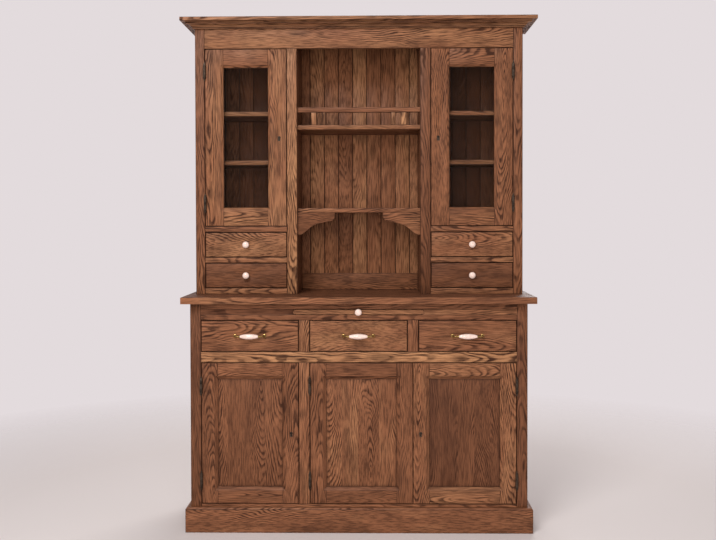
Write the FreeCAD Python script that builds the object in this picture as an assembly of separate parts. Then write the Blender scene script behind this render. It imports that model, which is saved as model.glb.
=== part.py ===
import FreeCAD
import Part
import math
import os

# Hutch in two stacked cabinets. X runs to the right, the front looks towards -Y, Z is up, all in millimetres.
# The origin is on the floor, in the middle of the plan.

# Driving sizes of the plan
BODY_WIDTH = 1410.0
BASE_DEPTH = 456.0
UPPER_DEPTH = 310.0
COUNTER_FRONT_OVERHANG = 44.0
COUNTER_SIDE_OVERHANG = 33.0
NICHE_WIDTH = 532.0
CORNER_STILE_WIDTH = 44.0
DIVIDER_WIDTH = 44.0
UPPER_STILE_WIDTH = 40.0
PILASTER_WIDTH = 44.0

# Driving sizes of the height, from the floor up
PLINTH_HEIGHT = 104.0
BOTTOM_RAIL_REVEAL = 12.0
DOOR_OPENING_HEIGHT = 595.0
MIDDLE_RAIL_HEIGHT = 45.0
LARGE_DRAWER_OPENING = 133.0
TOP_RAIL_HEIGHT = 70.0
COUNTER_THICKNESS = 28.0
UPPER_BOTTOM_RAIL = 26.0
SMALL_DRAWER_OPENING = 110.0
SMALL_RAIL = 23.0
CUPBOARD_RAIL = 24.0
GLASS_DOOR_OPENING = 766.0
FRIEZE_HEIGHT = 84.0
CORNICE_HEIGHT = 44.0

# Boards
SIDE_THICKNESS = 20.0
FACE_THICKNESS = 22.0
BACK_THICKNESS = 12.0
SHELF_THICKNESS = 20.0
DECK_THICKNESS = 18.0
TOP_THICKNESS = 16.0
BOTTOM_RAIL_HEIGHT = 40.0
BASE_BOARD_WIDTH = 98.0
UPPER_BOARD_WIDTH = 68.0
TONGUE_LENGTH = 5.0
TONGUE_THICKNESS = 4.0
TENON_LENGTH = 30.0
TENON_SHOULDER = 4.0
COUNTER_EASE = 3.0

# Plinth and cornice
PLINTH_PROJECTION = 21.0
PLINTH_CHAMFER = 6.0
CORNICE_PROJECTION = 56.0
CORNICE_BACKING = 26.0
CORNICE_FOOT = 9.0
CORNICE_FOOT_HEIGHT = 7.0
CORNICE_STEP = 4.0
CORNICE_BEAD_REACH = 34.0
CORNICE_BEAD_HEIGHT = 5.0
CORNICE_BEAD_STEP = 4.0
CORNICE_BEAD_RISE = 18.0
CORNICE_CROWN_HEIGHT = 15.0
CORNICE_CROWN_REVEAL = 5.0

# Niche
GALLERY_SHELF_ABOVE_COUNTER = 712.0
LOWER_SHELF_ABOVE_COUNTER = 352.0
NICHE_SHELF_SETBACK = 22.0
GALLERY_POST_SIZE = 22.0
GALLERY_POST_HEIGHT = 54.0
GALLERY_RAIL_HEIGHT = 22.0
GALLERY_OUTER_POST = 195.0
GALLERY_PAIR_SPACING = 45.0
BRACKET_LENGTH = 161.0
BRACKET_HEIGHT = 96.0
BRACKET_TIP = 20.0
BRACKET_THICKNESS = 20.0
BRACKET_NOSE = 30.0
BRACKET_NOSE_DROP = 17.0
BRACKET_BEND = 76.0
BRACKET_SLOPE_DROP = 29.0
BRACKET_OGEE_RUN = 35.5
BRACKET_OGEE_DROP = 20.0
BRACKET_OGEE_BULGE = 1.8
BRACKET_TOE = 26.0
BRACKET_TOE_RISE = 7.5
BRACKET_TOE_FLAT = 8.0
BRACKET_TOE_DIP = 1.0
BACK_RAIL_HEIGHT = 75.0
BACK_RAIL_THICKNESS = 14.0

# Shelves inside the cupboards
CABINET_SHELF_HEIGHTS = (268.0, 481.0)
BASE_SHELF_HEIGHT = 300.0
SHELF_SETBACK = 28.0
CLEAT_HEIGHT = 22.0
CLEAT_THICKNESS = 14.0
STOP_HEIGHT = 26.0
STOP_THICKNESS = 14.0
STOP_LAP = 14.0

# Doors
DOOR_GAP = 3.0
GLASS_DOOR_MEMBER = 78.0
PANEL_DOOR_MEMBER = 67.0
GLASS_DOOR_BEVEL_DEPTH = 8.0
GLASS_DOOR_BEVEL_WIDTH = 10.0
GLASS_SETBACK = 10.0
PANEL_DOOR_BEVEL_DEPTH = 11.0
PANEL_DOOR_BEVEL_WIDTH = 13.0
PANEL_SETBACK = 13.0
PANEL_THICKNESS = 6.0
PANEL_GROOVE = 8.0
PANEL_SLACK = 1.0
GLASS_THICKNESS = 4.0
GLASS_LAP = 8.0
RABBET_WIDTH = 10.0
DOOR_TENON_LENGTH = 40.0
DOOR_TENON_OUTER = 12.0
DOOR_TENON_INNER = 14.0

# Hinges
HINGE_KNUCKLE = 18.0
HINGE_RADIUS = 6.0
HINGE_PIN_RADIUS = 2.5
HINGE_STANDOFF = 0.5
HINGE_LEAF_THICKNESS = 1.2
HINGE_LEAF_DEPTH = 17.0
HINGE_END_INSET = 96.0
FINIAL_LENGTH = 15.0
FINIAL_TIP_RADIUS = 1.6
PIN_CLEARANCE = 0.06
KNUCKLE_CLEARANCE = 0.3

# Locks and the flush bolt
LOCK_LENGTH = 40.0
LOCK_HEIGHT = 60.0
LOCK_THICKNESS = 12.0
LOCK_SETBACK = 0.5
LOCK_FACE_WALL = 5.0
BOLT_LENGTH = 30.0
BOLT_HEIGHT = 16.0
BOLT_THICKNESS = 6.0
BOLT_THROW = 9.0
BOLT_CLEARANCE = 0.4
KEEPER_MARGIN = 2.0
KEYHOLE_BACKSET = 30.0
KEYHOLE_RADIUS = 3.4
KEYHOLE_SLOT = 4.4
KEYHOLE_DROP = 12.0
INSERT_WALL = 2.8
INSERT_THICKNESS = 2.0
FLUSH_BOLT_LENGTH = 90.0
FLUSH_BOLT_WIDTH = 12.0
FLUSH_BOLT_THICKNESS = 5.0
FLUSH_BOLT_PLATE = 2.0
FLUSH_BOLT_EDGE = 26.0
FLUSH_BOLT_THROW = 12.0
FLUSH_BOLT_SETDOWN = 0.5

# Drawers
DRAWER_GAP = 3.0
DRAWER_FRONT = 20.0
DRAWER_SIDE = 14.0
DRAWER_BOTTOM = 8.0
DRAWER_BOTTOM_RISE = 8.0
DRAWER_GROOVE = 6.0
DRAWER_HEADROOM = 18.0
LARGE_DRAWER_BACK_ROOM = 44.0
SMALL_DRAWER_BACK_ROOM = 36.0
SLIDE_CLEARANCE = 0.3
GUIDE_HEIGHT = 30.0

# Pull-out board
PULLOUT_WIDTH = 546.0
PULLOUT_THICKNESS = 19.0
PULLOUT_BACK_ROOM = 54.0
PULLOUT_RISE = 24.0
PULLOUT_SLOT_CLEARANCE = 1.6
PULLOUT_PROUD = 4.0
PULLOUT_RUNNER_WIDTH = 26.0

# Porcelain knobs, brass bow handles and their grips
KNOB_RADIUS = 14.5
KNOB_PROJECTION = 27.0
KNOB_NECK = 6.0
KNOB_NECK_LENGTH = 9.0
KNOB_FOOT = 8.5
KNOB_FOOT_HEIGHT = 2.5
KNOB_SPIGOT = 4.0
KNOB_SPIGOT_LENGTH = 12.0
SPIGOT_CLEARANCE = 0.1
HANDLE_SPACING = 124.0
HANDLE_REACH = 26.0
HANDLE_ROD = 3.2
HANDLE_BEND = 14.0
HANDLE_ROSETTE = 7.5
HANDLE_ROSETTE_HEIGHT = 3.5
HANDLE_CUP_RADIUS = 6.2
HANDLE_CUP_LENGTH = 8.0
HANDLE_CUP_TIP = 2.8
GRIP_LENGTH = 76.0
GRIP_RADIUS = 11.5
GRIP_END_RADIUS = 5.6
GRIP_CLEARANCE = 0.3

# Planes that follow from the driving sizes
HALF = BODY_WIDTH / 2
BACK_Y = (BASE_DEPTH + COUNTER_FRONT_OVERHANG) / 2
BASE_Y = BACK_Y - BASE_DEPTH
UPPER_Y = BACK_Y - UPPER_DEPTH
BASE_INSIDE_Y = BASE_Y + FACE_THICKNESS
UPPER_INSIDE_Y = UPPER_Y + FACE_THICKNESS
BACKING_Y = BACK_Y - BACK_THICKNESS
LARGE_DRAWER_DEPTH = BACKING_Y - BASE_Y - LARGE_DRAWER_BACK_ROOM
SMALL_DRAWER_DEPTH = BACKING_Y - UPPER_Y - SMALL_DRAWER_BACK_ROOM
PULLOUT_DEPTH = BACKING_Y - BASE_Y - PULLOUT_BACK_ROOM
SIDE_INNER = HALF - SIDE_THICKNESS
BASE_OPENING = HALF - CORNER_STILE_WIDTH
DRAWER_OPENING_WIDTH = (2 * BASE_OPENING - 2 * DIVIDER_WIDTH) / 3
DIVIDER_INNER = DRAWER_OPENING_WIDTH / 2
DIVIDER_OUTER = DIVIDER_INNER + DIVIDER_WIDTH
PAIR_MEETING = (BASE_OPENING - DIVIDER_INNER) / 2
PAIR_MEETING_LEFT = PAIR_MEETING - DOOR_GAP / 2
PAIR_MEETING_RIGHT = PAIR_MEETING + DOOR_GAP / 2
NICHE_HALF = NICHE_WIDTH / 2
PARTITION_OUTER = NICHE_HALF + SIDE_THICKNESS
CUPBOARD_INNER = NICHE_HALF + PILASTER_WIDTH
CUPBOARD_OUTER = HALF - UPPER_STILE_WIDTH

# Levels that follow from the driving sizes
DOOR_LOW = PLINTH_HEIGHT + BOTTOM_RAIL_REVEAL
DOOR_HIGH = DOOR_LOW + DOOR_OPENING_HEIGHT
DECK_Z = DOOR_HIGH + MIDDLE_RAIL_HEIGHT
DRAWER_HIGH = DECK_Z + LARGE_DRAWER_OPENING
BASE_TOP = DRAWER_HIGH + TOP_RAIL_HEIGHT
COUNTER_Z = BASE_TOP + COUNTER_THICKNESS
SMALL_LOW = COUNTER_Z + UPPER_BOTTOM_RAIL
SMALL_MIDDLE_LOW = SMALL_LOW + SMALL_DRAWER_OPENING
SMALL_HIGH = SMALL_MIDDLE_LOW + SMALL_RAIL
CUPBOARD_RAIL_LOW = SMALL_HIGH + SMALL_DRAWER_OPENING
GLASS_LOW = CUPBOARD_RAIL_LOW + CUPBOARD_RAIL
GLASS_HIGH = GLASS_LOW + GLASS_DOOR_OPENING
CORNICE_LOW = GLASS_HIGH + FRIEZE_HEIGHT
UPPER_BODY_TOP = CORNICE_LOW + CORNICE_BACKING
PULLOUT_LOW = DRAWER_HIGH + PULLOUT_RISE
PULLOUT_HIGH = PULLOUT_LOW + PULLOUT_THICKNESS

ORIGIN = FreeCAD.Vector(0, 0, 0)
X_AXIS = FreeCAD.Vector(1, 0, 0)
Z_AXIS = FreeCAD.Vector(0, 0, 1)


def box(x0, x1, y0, y1, z0, z1):
    """A board between two corners."""
    return Part.makeBox(x1 - x0, y1 - y0, z1 - z0, FreeCAD.Vector(x0, y0, z0))


def rod(radius, start, end):
    """A round bar between two points."""
    along = FreeCAD.Vector(*end) - FreeCAD.Vector(*start)
    return Part.makeCylinder(radius, along.Length, FreeCAD.Vector(*start), along)


def mirrored(shape):
    """The same piece on the other side of the middle."""
    return shape.mirror(ORIGIN, X_AXIS)


def sided(shapes, side):
    """Pieces modelled on the right, as they are or mirrored to the left."""
    return [mirrored(shape) for shape in shapes] if side < 0 else list(shapes)


def both(shapes):
    """Pieces modelled on the right, together with their mirror images."""
    return list(shapes) + sided(shapes, -1)


def prism(outline, direction):
    """A solid drawn out from a closed wire."""
    return Part.Face(outline).extrude(direction)


def polygon(points):
    """A closed wire through points."""
    return Part.makePolygon([FreeCAD.Vector(*point) for point in points + points[:1]])


def save(node, solids):
    """Write one node as a group of its separate solids."""
    Part.makeCompound(solids).exportStep("parts/" + node + ".step")


def tenon(x0, x1, y0, y1, z0, z1):
    """The tongue that a rail pushes into a stile, a third of its thickness."""
    third = (y1 - y0) / 3
    return box(x0, x1, y0 + third, y1 - third, z0 + TENON_SHOULDER, z1 - TENON_SHOULDER)


def rail(x0, x1, y, z0, z1, length):
    """A face rail with a tenon at each end, and the two tenons that the stiles are cut for."""
    ends = [tenon(x0 - length, x0, y, y + FACE_THICKNESS, z0, z1),
            tenon(x1, x1 + length, y, y + FACE_THICKNESS, z0, z1)]
    return box(x0, x1, y, y + FACE_THICKNESS, z0, z1).fuse(ends).removeSplitter(), ends


def wrap_moulding(edges, reach, y_front):
    """A moulding mitred round the front and both sides. The edges give (projection, 0, height)."""
    face = Part.Face(Part.Wire(edges))
    front = face.copy()
    front.rotate(ORIGIN, Z_AXIS, -90)
    front.translate(FreeCAD.Vector(-HALF - reach, y_front, 0))
    front = front.extrude(FreeCAD.Vector(BODY_WIDTH + 2 * reach, 0, 0))
    side = face.copy()
    side.translate(FreeCAD.Vector(HALF, y_front - reach, 0))
    side = side.extrude(FreeCAD.Vector(0, BACK_Y - y_front + reach, 0))
    low = face.BoundBox.ZMin
    up = FreeCAD.Vector(0, 0, face.BoundBox.ZLength)
    front_plan = polygon([(-HALF, y_front, low), (HALF, y_front, low),
                          (HALF + reach, y_front - reach, low), (-HALF - reach, y_front - reach, low)])
    side_plan = polygon([(HALF, y_front, low), (HALF + reach, y_front - reach, low),
                         (HALF + reach, BACK_Y, low), (HALF, BACK_Y, low)])
    return [front.common(prism(front_plan, up))] + both([side.common(prism(side_plan, up))])


def line(start, end):
    """A straight edge between two (across, height) points of a section."""
    return Part.makeLine(FreeCAD.Vector(start[0], 0, start[1]), FreeCAD.Vector(end[0], 0, end[1]))


def arc(start, middle, end):
    """A round edge through three (across, height) points of a section."""
    points = [FreeCAD.Vector(point[0], 0, point[1]) for point in (start, middle, end)]
    return Part.Arc(*points).toShape()


def runs(points):
    """Straight edges from each (across, height) point to the next."""
    return [line(start, end) for start, end in zip(points, points[1:])]


def section(points):
    """The straight edges of a closed section."""
    return runs(points + points[:1])


def plinth():
    """Three plinth boards with a chamfered upper edge."""
    shoulder = PLINTH_PROJECTION - PLINTH_CHAMFER
    edges = section([(0, 0), (PLINTH_PROJECTION, 0), (PLINTH_PROJECTION, PLINTH_HEIGHT - PLINTH_CHAMFER),
                     (shoulder, PLINTH_HEIGHT), (0, PLINTH_HEIGHT)])
    return wrap_moulding(edges, PLINTH_PROJECTION, BASE_Y)


def hollow(low, high):
    """A quarter hollow between two corners of a moulding, level at its low end."""
    bend = 1 - math.sqrt(0.5)
    middle = (low[0] + (high[0] - low[0]) * bend, high[1] - (high[1] - low[1]) * bend)
    return arc(low, middle, high)


def cornice():
    """Three cornice boards: a small foot, a hollow, a bead, a second hollow and a square crown."""
    foot_top = CORNICE_LOW + CORNICE_FOOT_HEIGHT
    top = CORNICE_LOW + CORNICE_HEIGHT
    crown_low = top - CORNICE_CROWN_HEIGHT
    bead_low = CORNICE_LOW + CORNICE_BEAD_RISE
    bead_high = bead_low + CORNICE_BEAD_HEIGHT
    corners = [(0, top), (0, CORNICE_LOW), (CORNICE_FOOT, CORNICE_LOW), (CORNICE_FOOT, foot_top),
               (CORNICE_FOOT + CORNICE_STEP, foot_top)]
    first_high = (CORNICE_BEAD_REACH - CORNICE_BEAD_STEP, bead_low)
    bead = [first_high, (CORNICE_BEAD_REACH, bead_low), (CORNICE_BEAD_REACH, bead_high)]
    second_high = (CORNICE_PROJECTION - CORNICE_CROWN_REVEAL, crown_low)
    crown = [second_high, (CORNICE_PROJECTION, crown_low), (CORNICE_PROJECTION, top), (0, top)]
    edges = (runs(corners) + [hollow(corners[-1], first_high)] + runs(bead) + [hollow(bead[-1], second_high)]
             + runs(crown))
    return wrap_moulding(edges, CORNICE_PROJECTION, UPPER_Y)


def back_boards(z0, z1, width):
    """Upright back boards between the sides, each tongued into the next."""
    count = math.ceil(2 * SIDE_INNER / width)
    pitch = 2 * SIDE_INNER / count
    middle = (BACKING_Y + BACK_Y - TONGUE_THICKNESS) / 2
    tongue = box(0, TONGUE_LENGTH, middle, middle + TONGUE_THICKNESS, z0, z1)
    boards = []
    for index in range(count):
        left = -SIDE_INNER + index * pitch
        board = box(left, left + pitch, BACKING_Y, BACK_Y, z0, z1)
        if index > 0:
            board = board.cut(tongue.translated(FreeCAD.Vector(left, 0, 0)))
        if index < count - 1:
            board = board.fuse(tongue.translated(FreeCAD.Vector(left + pitch, 0, 0))).removeSplitter()
        boards.append(board)
    return boards


def countertop():
    """The top of the base, with its upper edges eased."""
    reach = HALF + COUNTER_SIDE_OVERHANG
    slab = box(-reach, reach, BASE_Y - COUNTER_FRONT_OVERHANG, BACK_Y, BASE_TOP, COUNTER_Z)
    eased = [edge for edge in slab.Edges if edge.BoundBox.ZMin > BASE_TOP and edge.BoundBox.YMin < BACK_Y]
    return slab.makeFillet(COUNTER_EASE, eased)


def keeper(edge_x, side, y_face, z):
    """The mortise that a lock bolt shoots into, cut in from the edge of the piece beyond the gap."""
    depth = BOLT_THROW - LOCK_SETBACK - DOOR_GAP + KEEPER_MARGIN
    near = edge_x * side
    low_y = y_face + LOCK_FACE_WALL + (LOCK_THICKNESS - BOLT_THICKNESS) / 2
    mortise = box(near, near + depth, low_y - BOLT_CLEARANCE, low_y + BOLT_THICKNESS + BOLT_CLEARANCE,
                  z - BOLT_HEIGHT / 2 - BOLT_CLEARANCE, z + BOLT_HEIGHT / 2 + BOLT_CLEARANCE)
    return sided([mortise], side)[0]


def flush_bolt_box(room, z0, z1):
    """The bar of the middle door's flush bolt, grown by some room all round."""
    right = PAIR_MEETING_LEFT - FLUSH_BOLT_EDGE
    back = BASE_INSIDE_Y - FLUSH_BOLT_PLATE
    return box(right - FLUSH_BOLT_WIDTH - room, right + room, back - FLUSH_BOLT_THICKNESS - room, back + room,
               z0 - room, z1 + room)


def base_frame():
    """The face frame of the base: its stiles and dividers, and its rails with the slot of the board."""
    bottom, bottom_ends = rail(-BASE_OPENING, BASE_OPENING, BASE_Y, DOOR_LOW - BOTTOM_RAIL_HEIGHT, DOOR_LOW,
                               TENON_LENGTH)
    middle, middle_ends = rail(-BASE_OPENING, BASE_OPENING, BASE_Y, DOOR_HIGH, DECK_Z, TENON_LENGTH)
    middle = middle.cut(flush_bolt_box(BOLT_CLEARANCE, DOOR_HIGH, DOOR_HIGH + FLUSH_BOLT_THROW))
    slot_low = PULLOUT_LOW - PULLOUT_SLOT_CLEARANCE
    slot_high = PULLOUT_HIGH + PULLOUT_SLOT_CLEARANCE
    slot_half = PULLOUT_WIDTH / 2 + PULLOUT_SLOT_CLEARANCE
    under, under_ends = rail(-BASE_OPENING, BASE_OPENING, BASE_Y, DRAWER_HIGH, slot_low, TENON_LENGTH)
    over, over_ends = rail(-BASE_OPENING, BASE_OPENING, BASE_Y, slot_high, BASE_TOP, TENON_LENGTH)
    slot_round = (slot_high - slot_low) / 2
    slot_end = box(slot_half - slot_round, BASE_OPENING, BASE_Y, BASE_INSIDE_Y, slot_low, slot_high)
    slot_end = slot_end.cut(rod(slot_round, (slot_half - slot_round, BASE_Y, slot_low + slot_round),
                                (slot_half - slot_round, BASE_INSIDE_Y, slot_low + slot_round)))
    slot_ends = both([slot_end])
    posts = both([box(BASE_OPENING, HALF, BASE_Y, BASE_INSIDE_Y, 0, BASE_TOP)])
    posts = [post.cut(bottom_ends + middle_ends + under_ends + over_ends) for post in posts]
    dividers = both([box(DIVIDER_INNER, DIVIDER_OUTER, BASE_Y, BASE_INSIDE_Y, DECK_Z, DRAWER_HIGH)])
    stile = box(-DIVIDER_OUTER, -DIVIDER_INNER, BASE_Y, BASE_INSIDE_Y, DOOR_LOW, DOOR_HIGH)
    stile = stile.cut(keeper(-DIVIDER_OUTER, 1, BASE_Y, (DOOR_LOW + DOOR_HIGH) / 2))
    return posts + [stile] + dividers, [bottom, middle, under, over] + slot_ends


def base_inner_boards():
    """The bottom board, the upright between the cupboards and the deck that the large drawers run on."""
    bottom = box(-SIDE_INNER, SIDE_INNER, BASE_INSIDE_Y, BACKING_Y, DOOR_LOW - DECK_THICKNESS, DOOR_LOW)
    deck = box(-SIDE_INNER, SIDE_INNER, BASE_INSIDE_Y, BACKING_Y, DECK_Z - DECK_THICKNESS, DECK_Z)
    middle = -(DIVIDER_INNER + DIVIDER_OUTER) / 2
    partition = box(middle - SIDE_THICKNESS / 2, middle + SIDE_THICKNESS / 2, BASE_INSIDE_Y, BACKING_Y,
                    DOOR_LOW, DECK_Z - DECK_THICKNESS)
    return [bottom, deck, partition]


def upper_frame():
    """The face frame of the upper cabinet: outer stiles and pilasters, then frieze and cross rails."""
    frieze, tenons = rail(-CUPBOARD_OUTER, CUPBOARD_OUTER, UPPER_Y, GLASS_HIGH, UPPER_BODY_TOP, TENON_LENGTH)
    rails = [frieze]
    for low, high in ((COUNTER_Z, SMALL_LOW), (SMALL_MIDDLE_LOW, SMALL_HIGH), (CUPBOARD_RAIL_LOW, GLASS_LOW)):
        cross, ends = rail(CUPBOARD_INNER, CUPBOARD_OUTER, UPPER_Y, low, high, TENON_LENGTH)
        rails += both([cross])
        tenons = tenons + both(ends)
    lock_z = (GLASS_LOW + GLASS_HIGH) / 2
    outer = box(CUPBOARD_OUTER, HALF, UPPER_Y, UPPER_INSIDE_Y, COUNTER_Z, UPPER_BODY_TOP)
    pilaster = box(NICHE_HALF, CUPBOARD_INNER, UPPER_Y, UPPER_INSIDE_Y, COUNTER_Z, GLASS_HIGH)
    pilaster = pilaster.cut(keeper(CUPBOARD_INNER, -1, UPPER_Y, lock_z))
    stiles = [stile.cut(tenons) for stile in both([outer, pilaster])]
    return stiles, rails


def cabinet_decks():
    """The boards under the small drawers and under the glass cupboards."""
    decks = [box(PARTITION_OUTER, SIDE_INNER, UPPER_INSIDE_Y, BACKING_Y, top - DECK_THICKNESS, top)
             for top in (SMALL_LOW, SMALL_HIGH, GLASS_LOW)]
    return both(decks)


def shelves_and_cleats():
    """Loose shelves of the cupboards, the cleats under them and the strips that the doors close against."""
    shelves, cleats = [], []
    spans = [(PARTITION_OUTER, SIDE_INNER, UPPER_INSIDE_Y, GLASS_LOW + height)
             for height in CABINET_SHELF_HEIGHTS]
    middle = (DIVIDER_INNER + DIVIDER_OUTER) / 2
    base_z = DOOR_LOW + BASE_SHELF_HEIGHT
    base_spans = [(-SIDE_INNER, -middle - SIDE_THICKNESS / 2, BASE_INSIDE_Y, base_z),
                  (-middle + SIDE_THICKNESS / 2, SIDE_INNER, BASE_INSIDE_Y, base_z)]
    for index, (x0, x1, y, z) in enumerate(spans + base_spans):
        front = y + SHELF_SETBACK
        ends = [box(x0, x0 + CLEAT_THICKNESS, front, BACKING_Y, z - CLEAT_HEIGHT, z),
                box(x1 - CLEAT_THICKNESS, x1, front, BACKING_Y, z - CLEAT_HEIGHT, z)]
        board = [box(x0, x1, front, BACKING_Y, z, z + SHELF_THICKNESS)]
        paired = index < len(spans)
        shelves += both(board) if paired else board
        cleats += both(ends) if paired else ends
    stop_y = UPPER_INSIDE_Y + SLIDE_CLEARANCE
    cleats += both([box(PARTITION_OUTER, SIDE_INNER, UPPER_INSIDE_Y, UPPER_INSIDE_Y + STOP_THICKNESS,
                        GLASS_HIGH, GLASS_HIGH + STOP_HEIGHT).fuse(
        box(PARTITION_OUTER, SIDE_INNER, stop_y, UPPER_INSIDE_Y + STOP_THICKNESS,
            GLASS_HIGH - STOP_LAP, GLASS_HIGH)).removeSplitter()])
    low = DECK_Z - DECK_THICKNESS
    stop_y = BASE_INSIDE_Y + SLIDE_CLEARANCE
    for x0, x1, y, z in base_spans:
        cleats.append(box(x0, x1, stop_y, BASE_INSIDE_Y + STOP_THICKNESS, DOOR_HIGH - STOP_LAP, low))
    return shelves, cleats


def drawer_guides():
    """Strips that keep the drawers straight, and the two runners of the pull-out board."""
    guides = []
    for x0, x1, y, z in ((BASE_OPENING, SIDE_INNER, BASE_INSIDE_Y, DECK_Z),
                         (DIVIDER_INNER, DIVIDER_OUTER, BASE_INSIDE_Y, DECK_Z),
                         (CUPBOARD_OUTER, SIDE_INNER, UPPER_INSIDE_Y, SMALL_LOW),
                         (PARTITION_OUTER, CUPBOARD_INNER, UPPER_INSIDE_Y, SMALL_LOW),
                         (CUPBOARD_OUTER, SIDE_INNER, UPPER_INSIDE_Y, SMALL_HIGH),
                         (PARTITION_OUTER, CUPBOARD_INNER, UPPER_INSIDE_Y, SMALL_HIGH)):
        guides.append(box(x0, x1, y, BACKING_Y, z, z + GUIDE_HEIGHT))
    edge = (PULLOUT_WIDTH - PULLOUT_THICKNESS) / 2
    guides.append(box(edge - PULLOUT_RUNNER_WIDTH, edge, BASE_INSIDE_Y, BACKING_Y, DRAWER_HIGH,
                      PULLOUT_LOW - SLIDE_CLEARANCE))
    return both(guides)


def niche():
    """The niche: its shelves, gallery rail with posts, back rail and scrolled brackets."""
    y = UPPER_Y + NICHE_SHELF_SETBACK
    gallery_z = COUNTER_Z + GALLERY_SHELF_ABOVE_COUNTER
    lower_z = COUNTER_Z + LOWER_SHELF_ABOVE_COUNTER
    shelves = [box(-NICHE_HALF, NICHE_HALF, y, BACKING_Y, z, z + SHELF_THICKNESS)
               for z in (gallery_z, lower_z)]
    deck = gallery_z + SHELF_THICKNESS
    posts = []
    for x in (GALLERY_OUTER_POST, GALLERY_OUTER_POST - GALLERY_PAIR_SPACING):
        half = GALLERY_POST_SIZE / 2
        posts += both([box(x - half, x + half, y, y + GALLERY_POST_SIZE, deck, deck + GALLERY_POST_HEIGHT)])
    bar_z = deck + GALLERY_POST_HEIGHT
    bar = box(-NICHE_HALF, NICHE_HALF, y, y + GALLERY_POST_SIZE, bar_z, bar_z + GALLERY_RAIL_HEIGHT)
    back_rail = box(-NICHE_HALF, NICHE_HALF, BACKING_Y - BACK_RAIL_THICKNESS, BACKING_Y, COUNTER_Z,
                    COUNTER_Z + BACK_RAIL_HEIGHT)
    return shelves, [bar] + posts, [back_rail], both([bracket(y, lower_z)])


def bracket(y, top):
    """One scrolled bracket in the right corner under the lower shelf: nose, easy slope, ogee and flat toe."""
    tip = NICHE_HALF - BRACKET_LENGTH
    nose_low = top - BRACKET_TIP
    slope_low = top - BRACKET_TIP - BRACKET_SLOPE_DROP
    foot = top - BRACKET_HEIGHT
    eighth = math.sqrt(0.5)
    nose_end = (tip + BRACKET_NOSE, nose_low - BRACKET_NOSE_DROP)
    nose_middle = (tip + BRACKET_NOSE * (1 - eighth), nose_low - BRACKET_NOSE_DROP * eighth)
    bend = (tip + BRACKET_BEND, slope_low)
    steep_high = (bend[0] + BRACKET_OGEE_RUN, slope_low - BRACKET_OGEE_DROP)
    bend_middle = ((bend[0] + steep_high[0]) / 2 + BRACKET_OGEE_BULGE,
                   (bend[1] + steep_high[1]) / 2 + BRACKET_OGEE_BULGE)
    steep_low = (NICHE_HALF - BRACKET_TOE, foot + BRACKET_TOE_RISE)
    toe = (NICHE_HALF - BRACKET_TOE_FLAT, foot)
    toe_middle = ((steep_low[0] + toe[0]) / 2 - BRACKET_TOE_DIP,
                  (steep_low[1] + toe[1]) / 2 - BRACKET_TOE_DIP)
    edges = [line((NICHE_HALF, top), (tip, top)),
             line((tip, top), (tip, nose_low)),
             arc((tip, nose_low), nose_middle, nose_end),
             line(nose_end, bend),
             arc(bend, bend_middle, steep_high),
             line(steep_high, steep_low),
             arc(steep_low, toe_middle, toe),
             line(toe, (NICHE_HALF, foot)),
             line((NICHE_HALF, foot), (NICHE_HALF, top))]
    shape = prism(Part.Wire(edges), FreeCAD.Vector(0, BRACKET_THICKNESS, 0))
    return shape.translated(FreeCAD.Vector(0, y, 0))


def knob(x, z, y_face):
    """A porcelain knob turned on an axis that points to the front, with the spigot that holds it."""
    ball = KNOB_PROJECTION - KNOB_NECK_LENGTH
    half = ball / 2
    equator = KNOB_NECK_LENGTH + half
    shoulder = KNOB_RADIUS - half
    swell = half * math.sqrt(0.5)
    neck = (KNOB_NECK, KNOB_FOOT_HEIGHT + KNOB_NECK / 2)
    edges = [line((0, -KNOB_SPIGOT_LENGTH), (KNOB_SPIGOT, -KNOB_SPIGOT_LENGTH)),
             line((KNOB_SPIGOT, -KNOB_SPIGOT_LENGTH), (KNOB_SPIGOT, 0)),
             line((KNOB_SPIGOT, 0), (KNOB_FOOT, 0)),
             line((KNOB_FOOT, 0), (KNOB_FOOT, KNOB_FOOT_HEIGHT)),
             line((KNOB_FOOT, KNOB_FOOT_HEIGHT), neck),
             line(neck, (shoulder, KNOB_NECK_LENGTH)),
             arc((shoulder, KNOB_NECK_LENGTH), (shoulder + swell, equator - swell), (KNOB_RADIUS, equator)),
             arc((KNOB_RADIUS, equator), (shoulder + swell, equator + swell), (shoulder, KNOB_PROJECTION)),
             line((shoulder, KNOB_PROJECTION), (0, KNOB_PROJECTION)),
             line((0, KNOB_PROJECTION), (0, -KNOB_SPIGOT_LENGTH))]
    turned = Part.Face(Part.Wire(edges)).revolve(ORIGIN, Z_AXIS, 360)
    turned.rotate(ORIGIN, X_AXIS, 90)
    return turned.translated(FreeCAD.Vector(x, y_face, z))


def spigot_hole(x, z, y_face):
    """The blind hole behind a knob or a handle's rosette."""
    radius = KNOB_SPIGOT + SPIGOT_CLEARANCE
    return rod(radius, (x, y_face, z), (x, y_face + KNOB_SPIGOT_LENGTH + SPIGOT_CLEARANCE, z))


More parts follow.
